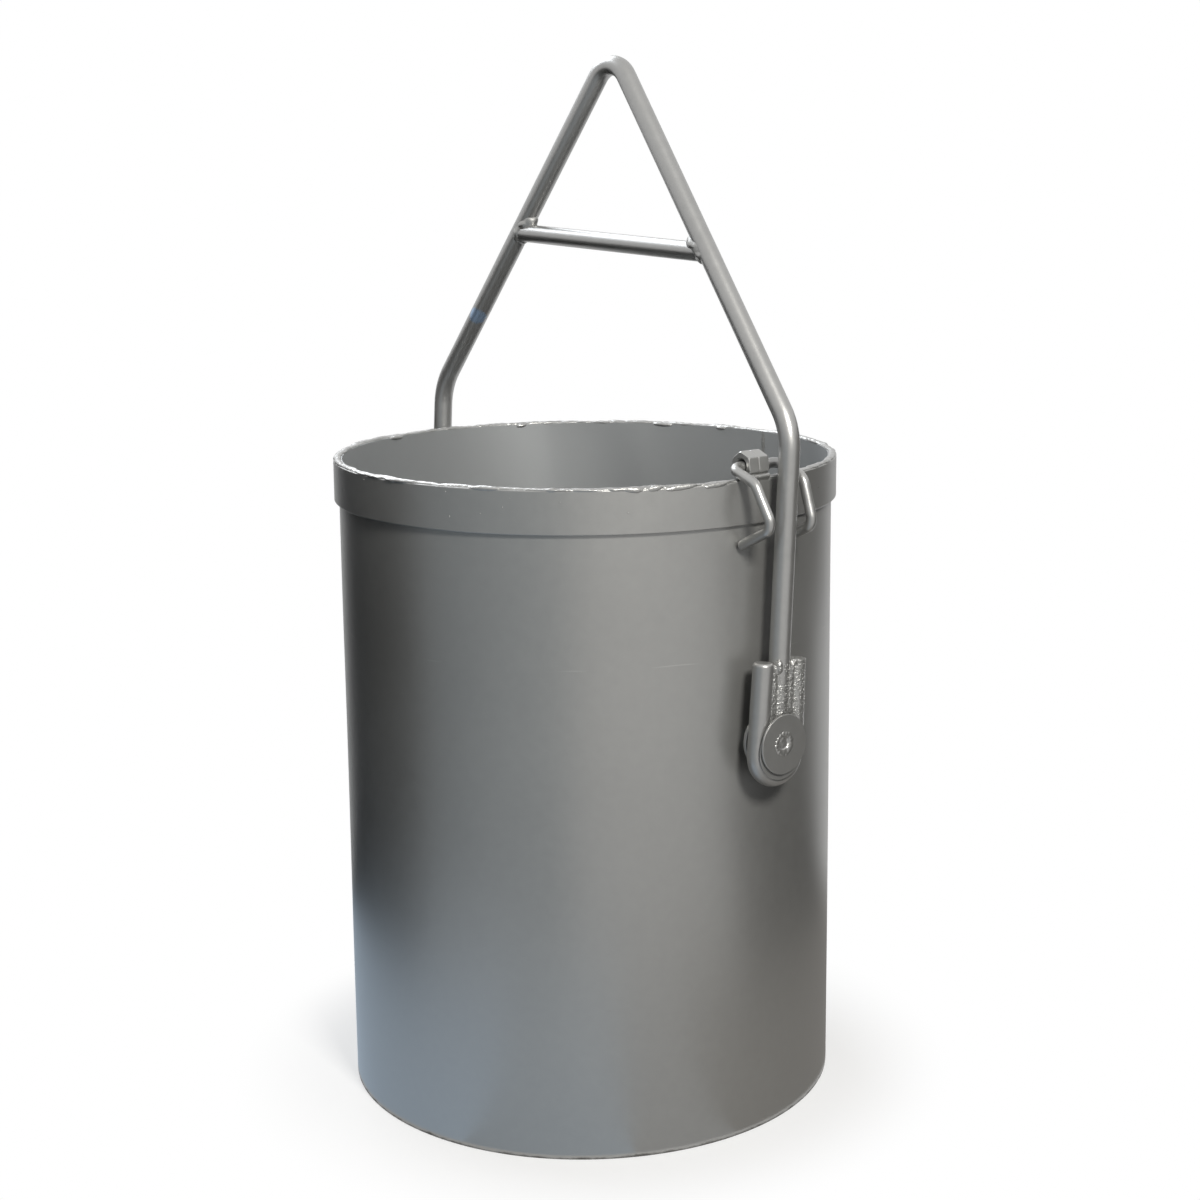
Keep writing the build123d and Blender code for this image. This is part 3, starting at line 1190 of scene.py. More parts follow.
@dataclass
class RimBead:
    """Uneven weld bead along the top edge, laid in short overlapping runs.

    Ranges and spreads of random draws are in millimetres.
    """

    seed: int = 41
    middle: float = 0.2006
    voxel: float = 0.75 * MM
    skin: Skin = (Ripple(5.0 * MM, 0.35 * MM), Ripple(2.2 * MM, 0.18 * MM, 7.0))
    root_depth: float = 0.6 * MM
    root_rise: float = 0.9 * MM
    root_insets: Triple = (0.3 * MM, 0.5 * MM, 1.4 * MM)
    root_steps: int = 360
    run_lift: float = 0.2 * MM
    run_lengths: Pair = (9.0, 22.0)
    run_stray: float = 0.7
    run_rises: Pair = (1.0, 2.2)
    run_widths: Pair = (2.4, 3.6)
    run_yaw: float = 0.10
    run_advance: float = 1.1
    grain_count: int = 34
    grain_fall: float = 11.0
    grain_start: float = 2.0 * MM
    grain_reach: float = 28.0 * MM
    grain_radii: Pair = (0.3, 0.55)
    droops: Sequence[BeadRun] = (
        BeadRun(-46.2, 3.0 * MM, 0.2028, 0.5190, 0.10, 2.2 * MM),
        BeadRun(-37.5, 17.0 * MM, 0.2022, 0.5186, 0.02, 1.9 * MM),
        BeadRun(-29.6, 8.0 * MM, 0.2036, 0.5186, -0.06, 2.3 * MM),
        BeadRun(-25.0, 6.0 * MM, 0.2034, 0.5190, 0.16, 2.3 * MM),
        BeadRun(-19.3, 13.0 * MM, 0.2034, 0.5188, 0.10, 2.3 * MM),
        BeadRun(-11.0, 12.0 * MM, 0.2034, 0.5186, 0.10, 2.0 * MM),
        BeadRun(103.0, 5.0 * MM, 0.1968, 0.5182, 0.0, 1.5 * MM),
        BeadRun(120.0, 9.0 * MM, 0.1968, 0.5184, 0.05, 1.5 * MM),
        BeadRun(158.0, 5.0 * MM, 0.1968, 0.5180, -0.1, 1.7 * MM),
        BeadRun(197.0, 9.0 * MM, 0.1968, 0.5182, 0.06, 1.7 * MM),
    )

    def build(self, shop: Workshop) -> None:
        """Make the bead from its root, its runs and the droops over the rim's edges.

        Args:
            shop: Where the piece is finished.
        """
        casting = Casting()
        casting.lathe(self.root(), self.root_steps)
        for run in (*self.runs(), *self.droops):
            turn = Matrix.Rotation(math.radians(run.angle) + run.yaw, 3, "Z")
            spot = PAIL.round_rim(run.angle, run.radius, run.height)
            half_sizes = (run.width, run.length, run.thick)
            casting.drop(spot, half_sizes, turn @ Matrix.Rotation(run.tilt, 3, "X"))
        blank = casting.fuse(self.voxel).roughen(self.skin)
        self.spatter(blank)
        shop.place("rim_bead", blank, Body.PAIL, Slot.WELD, "rim_weld", sharp=60.0)

    def root(self) -> list[Pair]:
        """Section of the continuous low root of the bead.

        Returns:
            Its corners.
        """
        inner, outer, top = self.root_insets
        low, high = PAIL.height - self.root_depth, PAIL.height + self.root_rise
        foot = [(PAIL.inner + inner, low), (PAIL.band_radius - outer, low)]
        return foot + [(PAIL.band_radius - top, high), (PAIL.inner + top, high)]

    def runs(self) -> list[BeadRun]:
        """Short runs of weld, each over the end of the last.

        Returns:
            The runs round the whole rim.
        """
        draw = random.Random(self.seed)
        height = PAIL.height + self.run_lift
        runs: list[BeadRun] = []
        angle = 0.0
        while angle < 360.0:
            length = draw.uniform(*self.run_lengths) * MM
            radius = self.middle + draw.gauss(0.0, self.run_stray) * MM
            rise = draw.uniform(*self.run_rises) * MM
            width = draw.uniform(*self.run_widths) * MM
            yaw = draw.uniform(-self.run_yaw, self.run_yaw)
            runs.append(BeadRun(angle, length, radius, height, 0.0, rise, width, yaw))
            angle += math.degrees(self.run_advance * length / self.middle)
        return runs

    def spatter(self, blank: Blank) -> None:
        """Scatter beads of spatter over the band, close under the bead.

        Args:
            blank: The fused bead.
        """
        draw = random.Random(self.seed + 1)
        spots, radii = [], []
        for _ in range(self.grain_count):
            angle = draw.uniform(0.0, 360.0)
            drop = abs(draw.gauss(0.0, self.grain_fall)) * MM
            height = PAIL.height - self.grain_start - min(drop, self.grain_reach)
            spots.append(PAIL.round_rim(angle, PAIL.band_radius, height))
            radii.append(draw.uniform(*self.grain_radii) * MM)
        blank.grains(spots, radii)


@dataclass
class Trunnion:
    """Pin, boss, washers, retaining disc and their welds on one side.

    The plug's radius and skew, and the size and growth of its drops, are in millimetres.
    """

    side: Side
    steps: int = 96
    pin_start: float = 0.192
    pin_round: float = 1.2 * MM
    pin_corner: float = 0.35 * MM
    boss_radius: float = 0.0105
    boss_root: float = 1.0 * MM
    washer_face: float = 0.2117
    washer_thickness: float = 0.003
    washer_radius: float = 0.021
    washer_round: float = 0.6 * MM
    outer_face: float = 0.2283
    outer_thickness: float = 0.001
    outer_radius: float = 0.023
    outer_hole: float = 0.013
    outer_drop: float = 0.0048
    outer_round: float = 0.3 * MM
    disc_face: float = 0.2300
    disc_thickness: float = 0.002
    disc_radius: float = 0.023
    disc_hole: float = 0.007
    disc_round: float = 0.5 * MM
    plug_seed: int = 70
    plug_drops: int = 18
    plug_radius: float = 8.6
    plug_skew: float = 2.2
    plug_size: float = 2.0
    plug_growth: float = 1.4
    plug_play: Pair = (0.90, 1.10)
    plug_lean: float = math.radians(35.0)
    plug_floor: float = 0.4 * MM
    plug_floor_half: float = 0.6 * MM
    plug_sink: float = 0.9 * MM
    plug_half: float = 1.5 * MM
    plug_voxel: float = 0.4 * MM
    plug_eases: int = 4
    plug_skin: Skin = (Ripple(4.0 * MM, 0.40 * MM), Ripple(1.8 * MM, 0.15 * MM, 4.0))
    boss_bead: float = 1.2 * MM
    pin_bead: float = 2.6 * MM
    bead_root: float = 0.6 * MM
    bead_sink: float = 0.2 * MM
    bead_sides: int = 4
    bead_steps: int = 72
    bead_skin: Skin = (Ripple(5.0 * MM, 0.3 * MM),)

    def build(self, shop: Workshop) -> None:
        """Make all pieces of this trunnion.

        Args:
            shop: Where the pieces are finished.
        """
        name = self.side.label
        boss_bead = self.ring_bead(PAIL.radius, self.boss_radius, self.boss_bead, 1.0)
        pin_bead = self.ring_bead(PAIL.inner, PAIL.pin_radius, self.pin_bead, -1.0)
        for part, blank, slot, node in (
            ("pin", self.pin(), Slot.PAIL, "trunnion_pin"),
            ("boss", self.boss(), Slot.PAIL, "trunnion_boss"),
            ("washer", self.washer(), Slot.PAIL, "inner_washer"),
            ("loose_washer", self.loose_washer(), Slot.PAIL, "outer_washer"),
            ("disc", self.disc(), Slot.PAIL, "retaining_disc"),
            ("plug", self.plug(), Slot.WELD, "plug_weld"),
            ("boss_bead", boss_bead, Slot.WELD, "boss_weld"),
            ("pin_bead", pin_bead, Slot.WELD, "pin_weld"),
        ):
            shop.place(f"{name}_{part}", blank, Body.PAIL, slot, f"{name}_{node}", sharp=45.0)

    def turned(self, profile: Sequence[Pair], closed: bool = True, drop: float = 0.0) -> Blank:
        """Turn a profile of radius and reach round the trunnion axis or a drop under it."""
        reach = [(radius, self.side.value * along) for radius, along in profile]
        return Blank().lathe(reach, self.steps, PAIL.pivot - UP * drop, ALONG_TRUNNIONS, closed)

    def pin(self) -> Blank:
        """Round pin with a rounded inner end.

        Returns:
            The pin.
        """
        radius, start, end = PAIL.pin_radius, self.pin_start, self.disc_face
        profile = [(0.0, start), (radius - self.pin_round, start)]
        profile += [(radius - self.pin_corner, start + self.pin_corner)]
        profile += [(radius, start + self.pin_round), (radius, end), (0.0, end)]
        return self.turned(profile, closed=False)

    def boss(self) -> Blank:
        """Collar between the wall and the washer."""
        low, high = PAIL.inner + self.boss_root, self.washer_face - self.washer_thickness
        return self.turned(flat_ring(PAIL.pin_radius, self.boss_radius, low, high))

    def washer(self) -> Blank:
        """Washer behind the stirrup.

        Returns:
            The washer.
        """
        low, high = self.washer_face - self.washer_thickness, self.washer_face
        section = flat_ring(PAIL.pin_radius, self.washer_radius, low, high)
        return self.turned(rounded(section, self.washer_round))

    def loose_washer(self) -> Blank:
        """Wide washer that hangs low on the pin, behind the disc.

        Returns:
            The washer.
        """
        low, high = self.outer_face, self.outer_face + self.outer_thickness
        section = flat_ring(self.outer_hole, self.outer_radius, low, high)
        return self.turned(rounded(section, self.outer_round), drop=self.outer_drop)

    def disc(self) -> Blank:
        """Retaining disc with a hole for the plug weld.

        Returns:
            The disc.
        """
        low, high = self.disc_face, self.disc_face + self.disc_thickness
        section = flat_ring(self.disc_hole, self.disc_radius, low, high)
        return self.turned(rounded(section, self.disc_round, segments=4))

    def plug(self) -> Blank:
        """Weld in the disc's hole: an uneven ring round a pit, heaviest low on the right.

        Returns:
            The weld.
        """
        sign = float(self.side.value)
        draw = random.Random(self.plug_seed + self.side.value)
        casting = Casting()
        floor = PAIL.pivot + ALONG_TRUNNIONS * (sign * (self.disc_face + self.plug_floor))
        wide = self.plug_radius * MM
        casting.drop(floor, (self.plug_floor_half, wide, wide))
        reach = sign * (self.disc_face + self.disc_thickness - self.plug_sink)
        for turn in angles(FULL_TURN, self.plug_drops)[:-1]:
            low_right = 0.5 - 0.5 * math.sin(turn - self.plug_lean)
            away = (self.plug_radius - self.plug_skew * low_right) * MM
            size = (self.plug_size + self.plug_growth * low_right) * MM
            size *= draw.uniform(*self.plug_play)
            height = PAIL.pivot_height + away * math.sin(turn)
            spot = Vector((reach, away * math.cos(turn), height))
            casting.drop(spot, (self.plug_half, size, size))
        return casting.fuse(self.plug_voxel, self.plug_eases).roughen(self.plug_skin)

    def ring_bead(self, wall: float, ring: float, size: float, outward: float) -> Blank:
        """Uneven weld bead round the boss or pin, on the curved wall.

        Args:
            wall: Radius of the wall's face.
            ring: Radius of the boss or pin.
            size: Size of the bead.
            outward: 1 on the outer face, -1 on the inner one.

        Returns:
            The bead.
        """
        section = [(-self.bead_root, -self.bead_root)]
        for turn in angles(QUARTER_TURN, self.bead_sides):
            away, rise = size * math.cos(turn), size * math.sin(turn)
            section.append((away - self.bead_sink, rise - self.bead_sink))
        rings: list[list[Vector]] = [[] for _ in section]
        for turn in angles(FULL_TURN, self.bead_steps)[:-1]:
            for points, (away, rise) in zip(rings, section):
                across = (ring + away) * math.cos(turn)
                reach = math.sqrt(wall * wall - across * across) + outward * rise
                height = PAIL.pivot_height + (ring + away) * math.sin(turn)
                points.append(Vector((self.side.value * reach, across, height)))
        return Blank().bridge(rings).roughen(self.bead_skin)


@dataclass
class LatchNuts:
    """Two hexagon nuts side by side on the rim, with the weld under them.

    Half sizes of the weld's drops, its spacings and its random play are in millimetres.
    """

    width: float = 0.019
    height: float = 0.010
    bore: float = 0.0051
    end_chamfer: float = 1.1 * MM
    seam_chamfer: float = 0.9 * MM
    bore_chamfer: float = 1.0 * MM
    thread_pitch: float = 1.75 * MM
    thread_depth: float = 0.7 * MM
    thread_start: float = 0.5
    thread_flank: float = 0.4
    turn: float = 6.7
    flat_step: float = 60.0
    shift: float = 3.9 * MM
    seat_gap: float = 0.3 * MM
    soft_corner: float = 0.12 * MM
    edge_bevel: float = 0.5 * MM
    press_margin: float = 0.1 * MM
    steps: int = 96
    bead_seed: int = 12
    bead_rise: float = 3.6 * MM
    bead_toe: Pair = (1.6 * MM, 0.2 * MM)
    bead_root: Pair = (2.2 * MM, 0.8 * MM)
    row_drops: int = 9
    row_pitch: float = 2.2
    slope_half: Pair = (2.4, 3.0)
    root_half: Triple = (3.0, 3.0, 2.4)
    toe_half: Triple = (2.0, 2.6, 2.0)
    ridges: int = 4
    ridge_pitch: float = 5.2
    ridge_play: float = 1.0
    ridge_out: float = 0.8 * MM
    ridge_down: float = 0.6
    ridge_half: Pair = (2.2, 1.5)
    ridge_lengths: Pair = (0.5, 0.62)
    bead_voxel: float = 0.45 * MM
    bead_eases: int = 10
    bead_skin: Skin = (Ripple(4.5 * MM, 0.3 * MM),)

    @property
    def flat_out(self) -> Vector:
        """Direction in which the lower flat faces."""
        angle = math.radians(self.turn - self.flat_step)
        return Vector((math.cos(angle), 0.0, math.sin(angle)))

    @property
    def flat_along(self) -> Vector:
        """Direction up along the lower flat."""
        out = self.flat_out
        return Vector((-out.z, 0.0, out.x))

    @property
    def corner(self) -> float:
        """Radius of the hexagon's corners."""
        return self.width / math.sqrt(3.0)

    @property
    def rim_edge(self) -> Vector:
        """Inner edge of the rim under the nuts."""
        return Vector((PAIL.inner, 0.0, PAIL.height))

    @property
    def centre(self) -> Vector:
        """Middle of the nuts' axis."""
        seat = self.flat_out * (0.5 * self.width + self.seat_gap)
        return self.rim_edge - seat + self.flat_along * self.shift

    def build(self, shop: Workshop) -> None:
        """Make both nuts and their weld.

        Args:
            shop: Where the pieces are finished.
        """
        ends = (self.end_chamfer, self.seam_chamfer)
        for name, start, chamfers in (("near", -self.height, ends), ("far", 0.0, ends[::-1])):
            nut = self.nut(start, chamfers)
            shop.place(f"{name}_nut", nut, Body.PAIL, Slot.LATCH, f"latch_nut_{name}", sharp=30.0)
        shop.place("nut_bead", self.bead(), Body.PAIL, Slot.WELD, "latch_nut_weld", sharp=60.0)

    def nut(self, start: float, chamfers: Pair) -> Blank:
        """One nut: a turned ring whose outside is pressed to a hexagon.

        Args:
            start: Where it starts along Y.
            chamfers: Chamfer of its corners at the start and at the end.

        Returns:
            The nut.
        """
        blank = Blank().lathe(self.threaded(chamfers), self.steps)
        for vert in blank.bm.verts:
            face = self.corner - chamfers[0 if vert.co.z < 0.5 * self.height else 1]
            radius = math.hypot(vert.co.x, vert.co.y)
            if radius > face - self.press_margin:
                self._press(vert, radius > face + self.press_margin, face)
        place = Matrix.Translation(self.centre + ACROSS_BAIL * start)
        return blank.move(place @ Matrix.Rotation(-QUARTER_TURN, 4, "X"))

    def threaded(self, chamfers: Pair) -> list[Pair]:
        """Section of a round nut with its thread.

        Args:
            chamfers: Chamfer of its corners at the start and at the end.

        Returns:
            Radius and distance along the axis of each corner.
        """
        top, mouth = self.height, self.bore + self.bore_chamfer
        profile = [(mouth, 0.0), (self.bore, self.bore_chamfer)]
        along = self.bore_chamfer + self.thread_start * self.thread_pitch
        while along < top - self.bore_chamfer:
            profile.append((self.bore + self.thread_depth, along))
            profile.append((self.bore, along + self.thread_flank * self.thread_pitch))
            along += self.thread_pitch
        profile += [(mouth, top), (self.corner - chamfers[1], top), (self.corner, top)]
        return profile + [(self.corner, 0.0), (self.corner - chamfers[0], 0.0)]

    def _press(self, vert: bmesh.types.BMVert, outer: bool, face: float) -> None:
        """Move one outer vertex to the hexagon and its chamfer.

        Args:
            vert: The vertex, with the nut's axis along Z.
            outer: Whether it belongs to the flats, not to the end face.
            face: Radius of the end face.
        """
        angle = math.atan2(vert.co.y, vert.co.x)
        sixth = math.radians(self.flat_step)
        local = (angle + math.radians(90.0 + self.turn) + 0.5 * sixth) % sixth - 0.5 * sixth
        flat = 0.5 * self.width / math.cos(0.5 * sixth - abs(local))
        away = min(flat, self.corner - self.soft_corner)
        radius = away if outer else min(away - self.edge_bevel, face)
        depth = max(self.edge_bevel, away - face) if outer else 0.0
        along = depth if vert.co.z < 0.5 * self.height else self.height - depth
        vert.co = Vector((radius * math.cos(angle), radius * math.sin(angle), along))

    def bead(self) -> Blank:
        """Weld that runs from the nuts' outer flats down to the rim's edge.

        Returns:
            The weld.
        """
        draw = random.Random(self.bead_seed)
        casting = Casting()
        top = self.rim_edge + self.flat_along * (self.shift + self.bead_rise)
        toe = Vector((PAIL.band_radius - self.bead_toe[0], 0.0, PAIL.height + self.bead_toe[1]))
        root = Vector((PAIL.inner + self.bead_root[0], 0.0, PAIL.height + self.bead_root[1]))
        fall = (toe - top).to_track_quat("Z", "Y").to_matrix()
        long = 0.5 * (toe - top).length
        for part in range(self.row_drops):
            slide = ACROSS_BAIL * ((part - 0.5 * (self.row_drops - 1)) * self.row_pitch * MM)
            casting.drop(top.lerp(toe, 0.5) + slide, (*mm(*self.slope_half), long), fall)
            casting.drop(root + slide, mm(*self.root_half))
            casting.drop(toe + slide, mm(*self.toe_half))
        for part in range(self.ridges):
            across = (part - 0.5 * (self.ridges - 1)) * self.ridge_pitch * MM
            across += draw.uniform(-self.ridge_play, self.ridge_play) * MM
            slide = Vector((self.ridge_out, across, 0.0))
            long = (toe - top).length * draw.uniform(*self.ridge_lengths)
            spot = top.lerp(toe, self.ridge_down) + slide
            casting.drop(spot, (*mm(*self.ridge_half), long), fall)
        return casting.fuse(self.bead_voxel, self.bead_eases).roughen(self.bead_skin)


@dataclass(frozen=True)
class Fillet:
    """Sizes of a weld fillet round the crossbar's end."""

    top: float
    beside: float
    below: float
    bar: float
    crown: float = 0.7 * MM
    sink: float = 0.2 * MM
    root: float = 1.5 * MM
    top_heavy: float = 0.25
    lobed: float = 0.15
    parts: int = 6
    steps: int = 96

    def on_rod(self, turn: float) -> float:
        """Leg on the rod at an angle from the front, round over the top.

        Args:
            turn: The angle.

        Returns:
            The leg's length.
        """
        height = math.sin(turn)
        end = self.top if height > 0.0 else self.below
        return self.beside + (end - self.beside) * height * height

    def on_bar(self, turn: float) -> float:
        """Leg on the crossbar at an angle from the front."""
        waves = 1.0 + self.top_heavy * math.sin(turn) + self.lobed * math.sin(3.0 * turn)
        return self.bar * waves


@dataclass
class Bail:
    """Bent bail rod with its crossbar, and the collars that join them."""

    fillets: Mapping[Side, Fillet] = field(default_factory=lambda: {
        Side.RIGHT: Fillet(*mm(5.5, 3.4, 2.4, 7.0)),
        Side.LEFT: Fillet(*mm(8.0, 4.0, 2.6, 3.4)),
    })
    shoulder_rise: float = 0.236
    apex_rise: float = 0.522
    crossbar_rise: float = 0.3682
    slant: float = math.radians(2.6)
    crossbar_radius: float = 0.0075
    crossbar_inset: float = 4.0 * MM
    shoulder_bend: float = 0.050
    apex_bend: float = 0.022
    bar_skin: Skin = (Ripple(26.0 * MM, 0.05 * MM),)
    collar_skin: Skin = (Ripple(5.5 * MM, 1.0 * MM), Ripple(2.6 * MM, 0.30 * MM, 9.0))

    @property
    def slope(self) -> float:
        """Angle of the slopes from upright."""
        return math.atan2(PAIL.leg_reach, self.apex_rise - self.shoulder_rise)

    def joint(self, side: Side) -> Vector:
        """Where the crossbar's centreline meets that of a slope.

        Args:
            side: Which slope.

        Returns:
            The point, in the upright bail.
        """
        run = math.tan(self.slope)
        drop = side.value * math.tan(self.slant)
        reach = side.value * (self.apex_rise - self.crossbar_rise) * run / (1.0 - run * drop)
        return Vector((reach, 0.0, self.crossbar_rise - reach * math.tan(self.slant)))

    def build(self, shop: Workshop) -> None:
        """Make the rod, the crossbar and the collars, and lean them.

        Args:
            shop: Where the pieces are finished.
        """
        bars = (("bail_bar", self.rod(), "bail_rod"), ("cross_bar", self.crossbar(), "crossbar"))
        for name, blank, node in bars:
            blank.roughen(self.bar_skin).move(PAIL.bail_turn)
            shop.place(name, blank, Body.BAIL, Slot.BAIL, node, sharp=50.0)
        for side in Side:
            collar = self.collar(side).move(PAIL.bail_turn)
            name, node = f"{side.label}_collar", f"{side.label}_crossbar_weld"
            shop.place(name, collar, Body.BAIL, Slot.WELD, node, sharp=60.0)

    def rod(self) -> Blank:
        """One bar with two legs, two shoulders and an apex.

        Returns:
            The bar, in the upright bail.
        """
        reach = PAIL.leg_reach
        foot = PAIL.pin_radius + PAIL.rest_gap
        corners = ((reach, foot), (reach, self.shoulder_rise), (0.0, self.apex_rise))
        right = [Vector((across, 0.0, rise)) for across, rise in corners]
        left = [Vector((-across, 0.0, rise)) for across, rise in reversed(corners[:2])]
        bends = (self.shoulder_bend, self.apex_bend, self.shoulder_bend)
        return BentBar(PAIL.rod_radius).draw(right + left, bends)

    def crossbar(self) -> Blank:
        """Straight bar between the slopes.

        Returns:
            The bar, in the upright bail.
        """
        right, left = (self.joint(side) for side in (Side.RIGHT, Side.LEFT))
        inward = (left - right).normalized() * self.crossbar_inset
        return BentBar(self.crossbar_radius).draw([right + inward, left - inward], ())

    def collar(self, side: Side) -> Blank:
        """Fillet of weld round the crossbar's end, where it meets a slope.

        Args:
            side: Which end.

        Returns:
            The fillet, in the upright bail.
        """
        legs = self.fillets[side]
        joint = self.joint(side)
        inward = (self.joint(Side.LEFT) - self.joint(Side.RIGHT)).normalized() * side.value
        up = ACROSS_BAIL.cross(inward) * side.value
        along = Vector((-side.value * math.sin(self.slope), 0.0, math.cos(self.slope)))
        facing = Vector((-side.value * math.cos(self.slope), 0.0, -math.sin(self.slope)))
        rod, bar = PAIL.rod_radius, self.crossbar_radius
        shares = [part / legs.parts for part in range(legs.parts + 1)]
        rings: list[list[Vector]] = [[] for _ in range(len(shares) + 1)]
        for turn in angles(FULL_TURN, legs.steps)[:-1]:
            across, rise = bar * math.cos(turn), bar * math.sin(turn)
            depth = math.sqrt(rod * rod - across * across)
            reach = (depth - rise * up.dot(facing)) / inward.dot(facing)
            corner = inward * reach + up * rise
            leg = legs.on_rod(turn)
            wrap = math.asin(across / rod) + leg * math.cos(turn) / rod
            skin = facing * math.cos(wrap) + ACROSS_BAIL * math.sin(wrap)
            toe = along * (corner.dot(along) + leg * math.sin(turn)) + skin * (rod - legs.sink)
            radial = up * math.sin(turn) + ACROSS_BAIL * math.cos(turn)
            corner += ACROSS_BAIL * across
            heel = corner + inward * legs.on_bar(turn) - radial * legs.sink
            rings[0].append(joint + corner - radial * legs.root - skin * legs.root)
            for ring, share in zip(rings[1:], shares):
                spot = joint + toe.lerp(heel, share)
                swell = legs.crown * math.sin(math.pi * share)
                ring.append(spot + (radial + skin).normalized() * swell)
        return Blank().bridge(rings).roughen(self.collar_skin)


@dataclass
class Stirrup:
    """Bar bent to a U round the trunnion pin and welded to the bail's leg.

    Places and half sizes of the weld's drops, rods and lumps are in millimetres: a place is its
    distance across from the bail's leg, its height over the trunnion axis and its distance out.
    """

    side: Side
    drop: float = 8.5 * MM
    rise: float = 62.0 * MM
    gap: float = 0.5 * MM
    end_round: float = 2.6 * MM
    yoke_skin: Skin = (Ripple(14.0 * MM, 0.16 * MM), Ripple(5.0 * MM, 0.08 * MM, 2.0))
    bead_seed: int = 90
    groove: float = 8.7
    groove_play: float = 0.3
    groove_out: Pair = (2.9, 3.3)
    groove_start: float = 14.0
    groove_pitch: float = 2.0
    groove_drops: int = 22
    groove_half: Triple = (2.8, 6.0, 4.4)
    crust_from: float = 20.0 * MM
    crust_to: float = 62.2 * MM
    crust_in: float = 0.1 * MM
    crust_out: float = 0.2 * MM
    leg_crusts: Sequence[tuple[Triple, Triple]] = (
        ((-0.5, 11.0, 0.1), (-0.3, 44.0, 0.0)),
        ((0.2, 11.0, 0.4), (0.2, 27.0, 0.2)),
    )
    lumps: Sequence[tuple[Triple, Triple]] = (
        ((-5.4, 58.5, 5.4), (3.0, 3.4, 6.2)),
        ((8.3, 56.5, 5.0), (2.7, 2.5, 6.2)),
        ((12.0, 61.0, 5.0), (2.6, 5.0, 2.4)),
    )
    bead_voxel: float = 0.42 * MM
    bead_skin: Skin = (
        Ripple(6.0 * MM, 0.40 * MM),
        Ripple(2.4 * MM, 0.34 * MM, 3.0),
        Ripple(1.2 * MM, 0.20 * MM, 6.0),
    )
    grain_count: int = 420
    grain_across: Pair = (-9.0, 23.0)
    grain_rises: Pair = (16.0, 61.0)
    grain_radii: Pair = (0.30, 0.60)
    washer_sweep: float = 31.0 * MM
    washer_room: float = 8.1 * MM

    @property
    def bend(self) -> float:
        """Bend radius of the centreline."""
        return PAIL.pin_radius + PAIL.pin_clearance + PAIL.rod_radius

    @property
    def mouth(self) -> float:
        """Distance of the legs' tops from the bail's leg."""
        return 2.0 * PAIL.rod_radius + self.gap

    def build(self, shop: Workshop) -> None:
        """Make the U and the weld that joins it to the bail.

        Args:
            shop: Where the pieces are finished.
        """
        name = self.side.label
        for part, blank, slot, node in (
            ("yoke", self.yoke(), Slot.BAIL, "stirrup"),
            ("yoke_bead", self.bead(), Slot.WELD, "stirrup_weld"),
        ):
            blank.move(PAIL.bail_turn)
            shop.place(f"{name}_{part}", blank, Body.BAIL, slot, f"{name}_{node}", sharp=55.0)

    def at(self, across: float, rise: float, out: float = 0.0) -> Vector:
        """Point in the upright bail, by its distance across, its height and its distance out."""
        return Vector((self.side.value * (PAIL.leg_reach + out), across, rise))

    def leg(self, rise: float) -> float:
        """Distance of a leg's centreline from the bail's leg."""
        return self.mouth + (self.bend - self.mouth) * (self.rise - rise) / (self.rise + self.drop)

    def yoke(self) -> Blank:
        """Two legs that close in on the bail's leg, and the bend between them.

        Returns:
            The U, in the upright bail.
        """
        lift = self.rise + self.drop
        far = math.hypot(self.mouth, lift)
        start = math.atan2(lift, self.mouth) - math.acos(self.bend / far)
        across, height = self.bend * math.cos(start), self.bend * math.sin(start) - self.drop
        bar = BentBar(PAIL.rod_radius, end_round=self.end_round)
        top, end = (self.at(hand * self.mouth, self.rise) for hand in (1.0, -1.0))
        down = self.at(across, height) - top
        blank, first = bar.start(top, down.normalized())
        front = bar.run(blank, first, down)
        middle, angle = self.at(0.0, -self.drop), math.pi + 2.0 * start
        front = bar.turn(blank, front, middle, -ALONG_TRUNNIONS, angle, self.bend)
        front = bar.run(blank, front, end - self.at(-across, height))
        bar.close(blank, first)
        bar.close(blank, front)
        return blank.roughen(self.yoke_skin)

    def bead(self) -> Blank:
        """Weld over the grooves between the three bars, with its start lumps and spatter.

        Returns:
            The weld, in the upright bail.
        """
        draw = random.Random(self.bead_seed + self.side.value)
        casting = Casting()
        for hand in (-1.0, 1.0):
            for out in (-1.0, 1.0):
                for step in range(self.groove_drops):
                    stray = draw.uniform(-self.groove_play, self.groove_play)
                    across = hand * (self.groove + stray)
                    rise = self.groove_start + self.groove_pitch * step
                    place = mm(across, rise, out * draw.uniform(*self.groove_out))
                    casting.drop(self.at(*place), mm(*self.groove_half))
        radius = PAIL.rod_radius
        low, top = self.crust_from, self.crust_to
        end = self.at(self.leg(top) - self.crust_in, top, self.crust_out)
        casting.rod(self.at(self.leg(low) - self.crust_in, low), end, radius)
        for start, end in self.leg_crusts:
            casting.rod(self.at(*mm(*start)), self.at(*mm(*end)), radius)
        for place, size in self.lumps:
            casting.drop(self.at(*mm(*place)), mm(*size))
        fused = casting.fuse(self.bead_voxel).roughen(self.bead_skin)
        return self._press(self._spatter(fused, draw))

    def _spatter(self, blank: Blank, draw: random.Random) -> Blank:
        """Scatter spatter over the welded bars.

        Args:
            blank: The fused weld.
            draw: Source of the random places.

        Returns:
            The weld with its spatter.
        """
        spots, radii = [], []
        for _ in range(self.grain_count):
            across = draw.uniform(*self.grain_across) * MM
            rise = draw.uniform(*self.grain_rises) * MM
            near = min((0.0, self.leg(rise)), key=lambda bar: abs(across - bar))
            depth = PAIL.rod_radius ** 2 - (across - near) ** 2
            if depth > 0.0:
                spots.append(self.at(across, rise, math.sqrt(depth)))
                radii.append(draw.uniform(*self.grain_radii) * MM)
        return blank.grains(spots, radii)

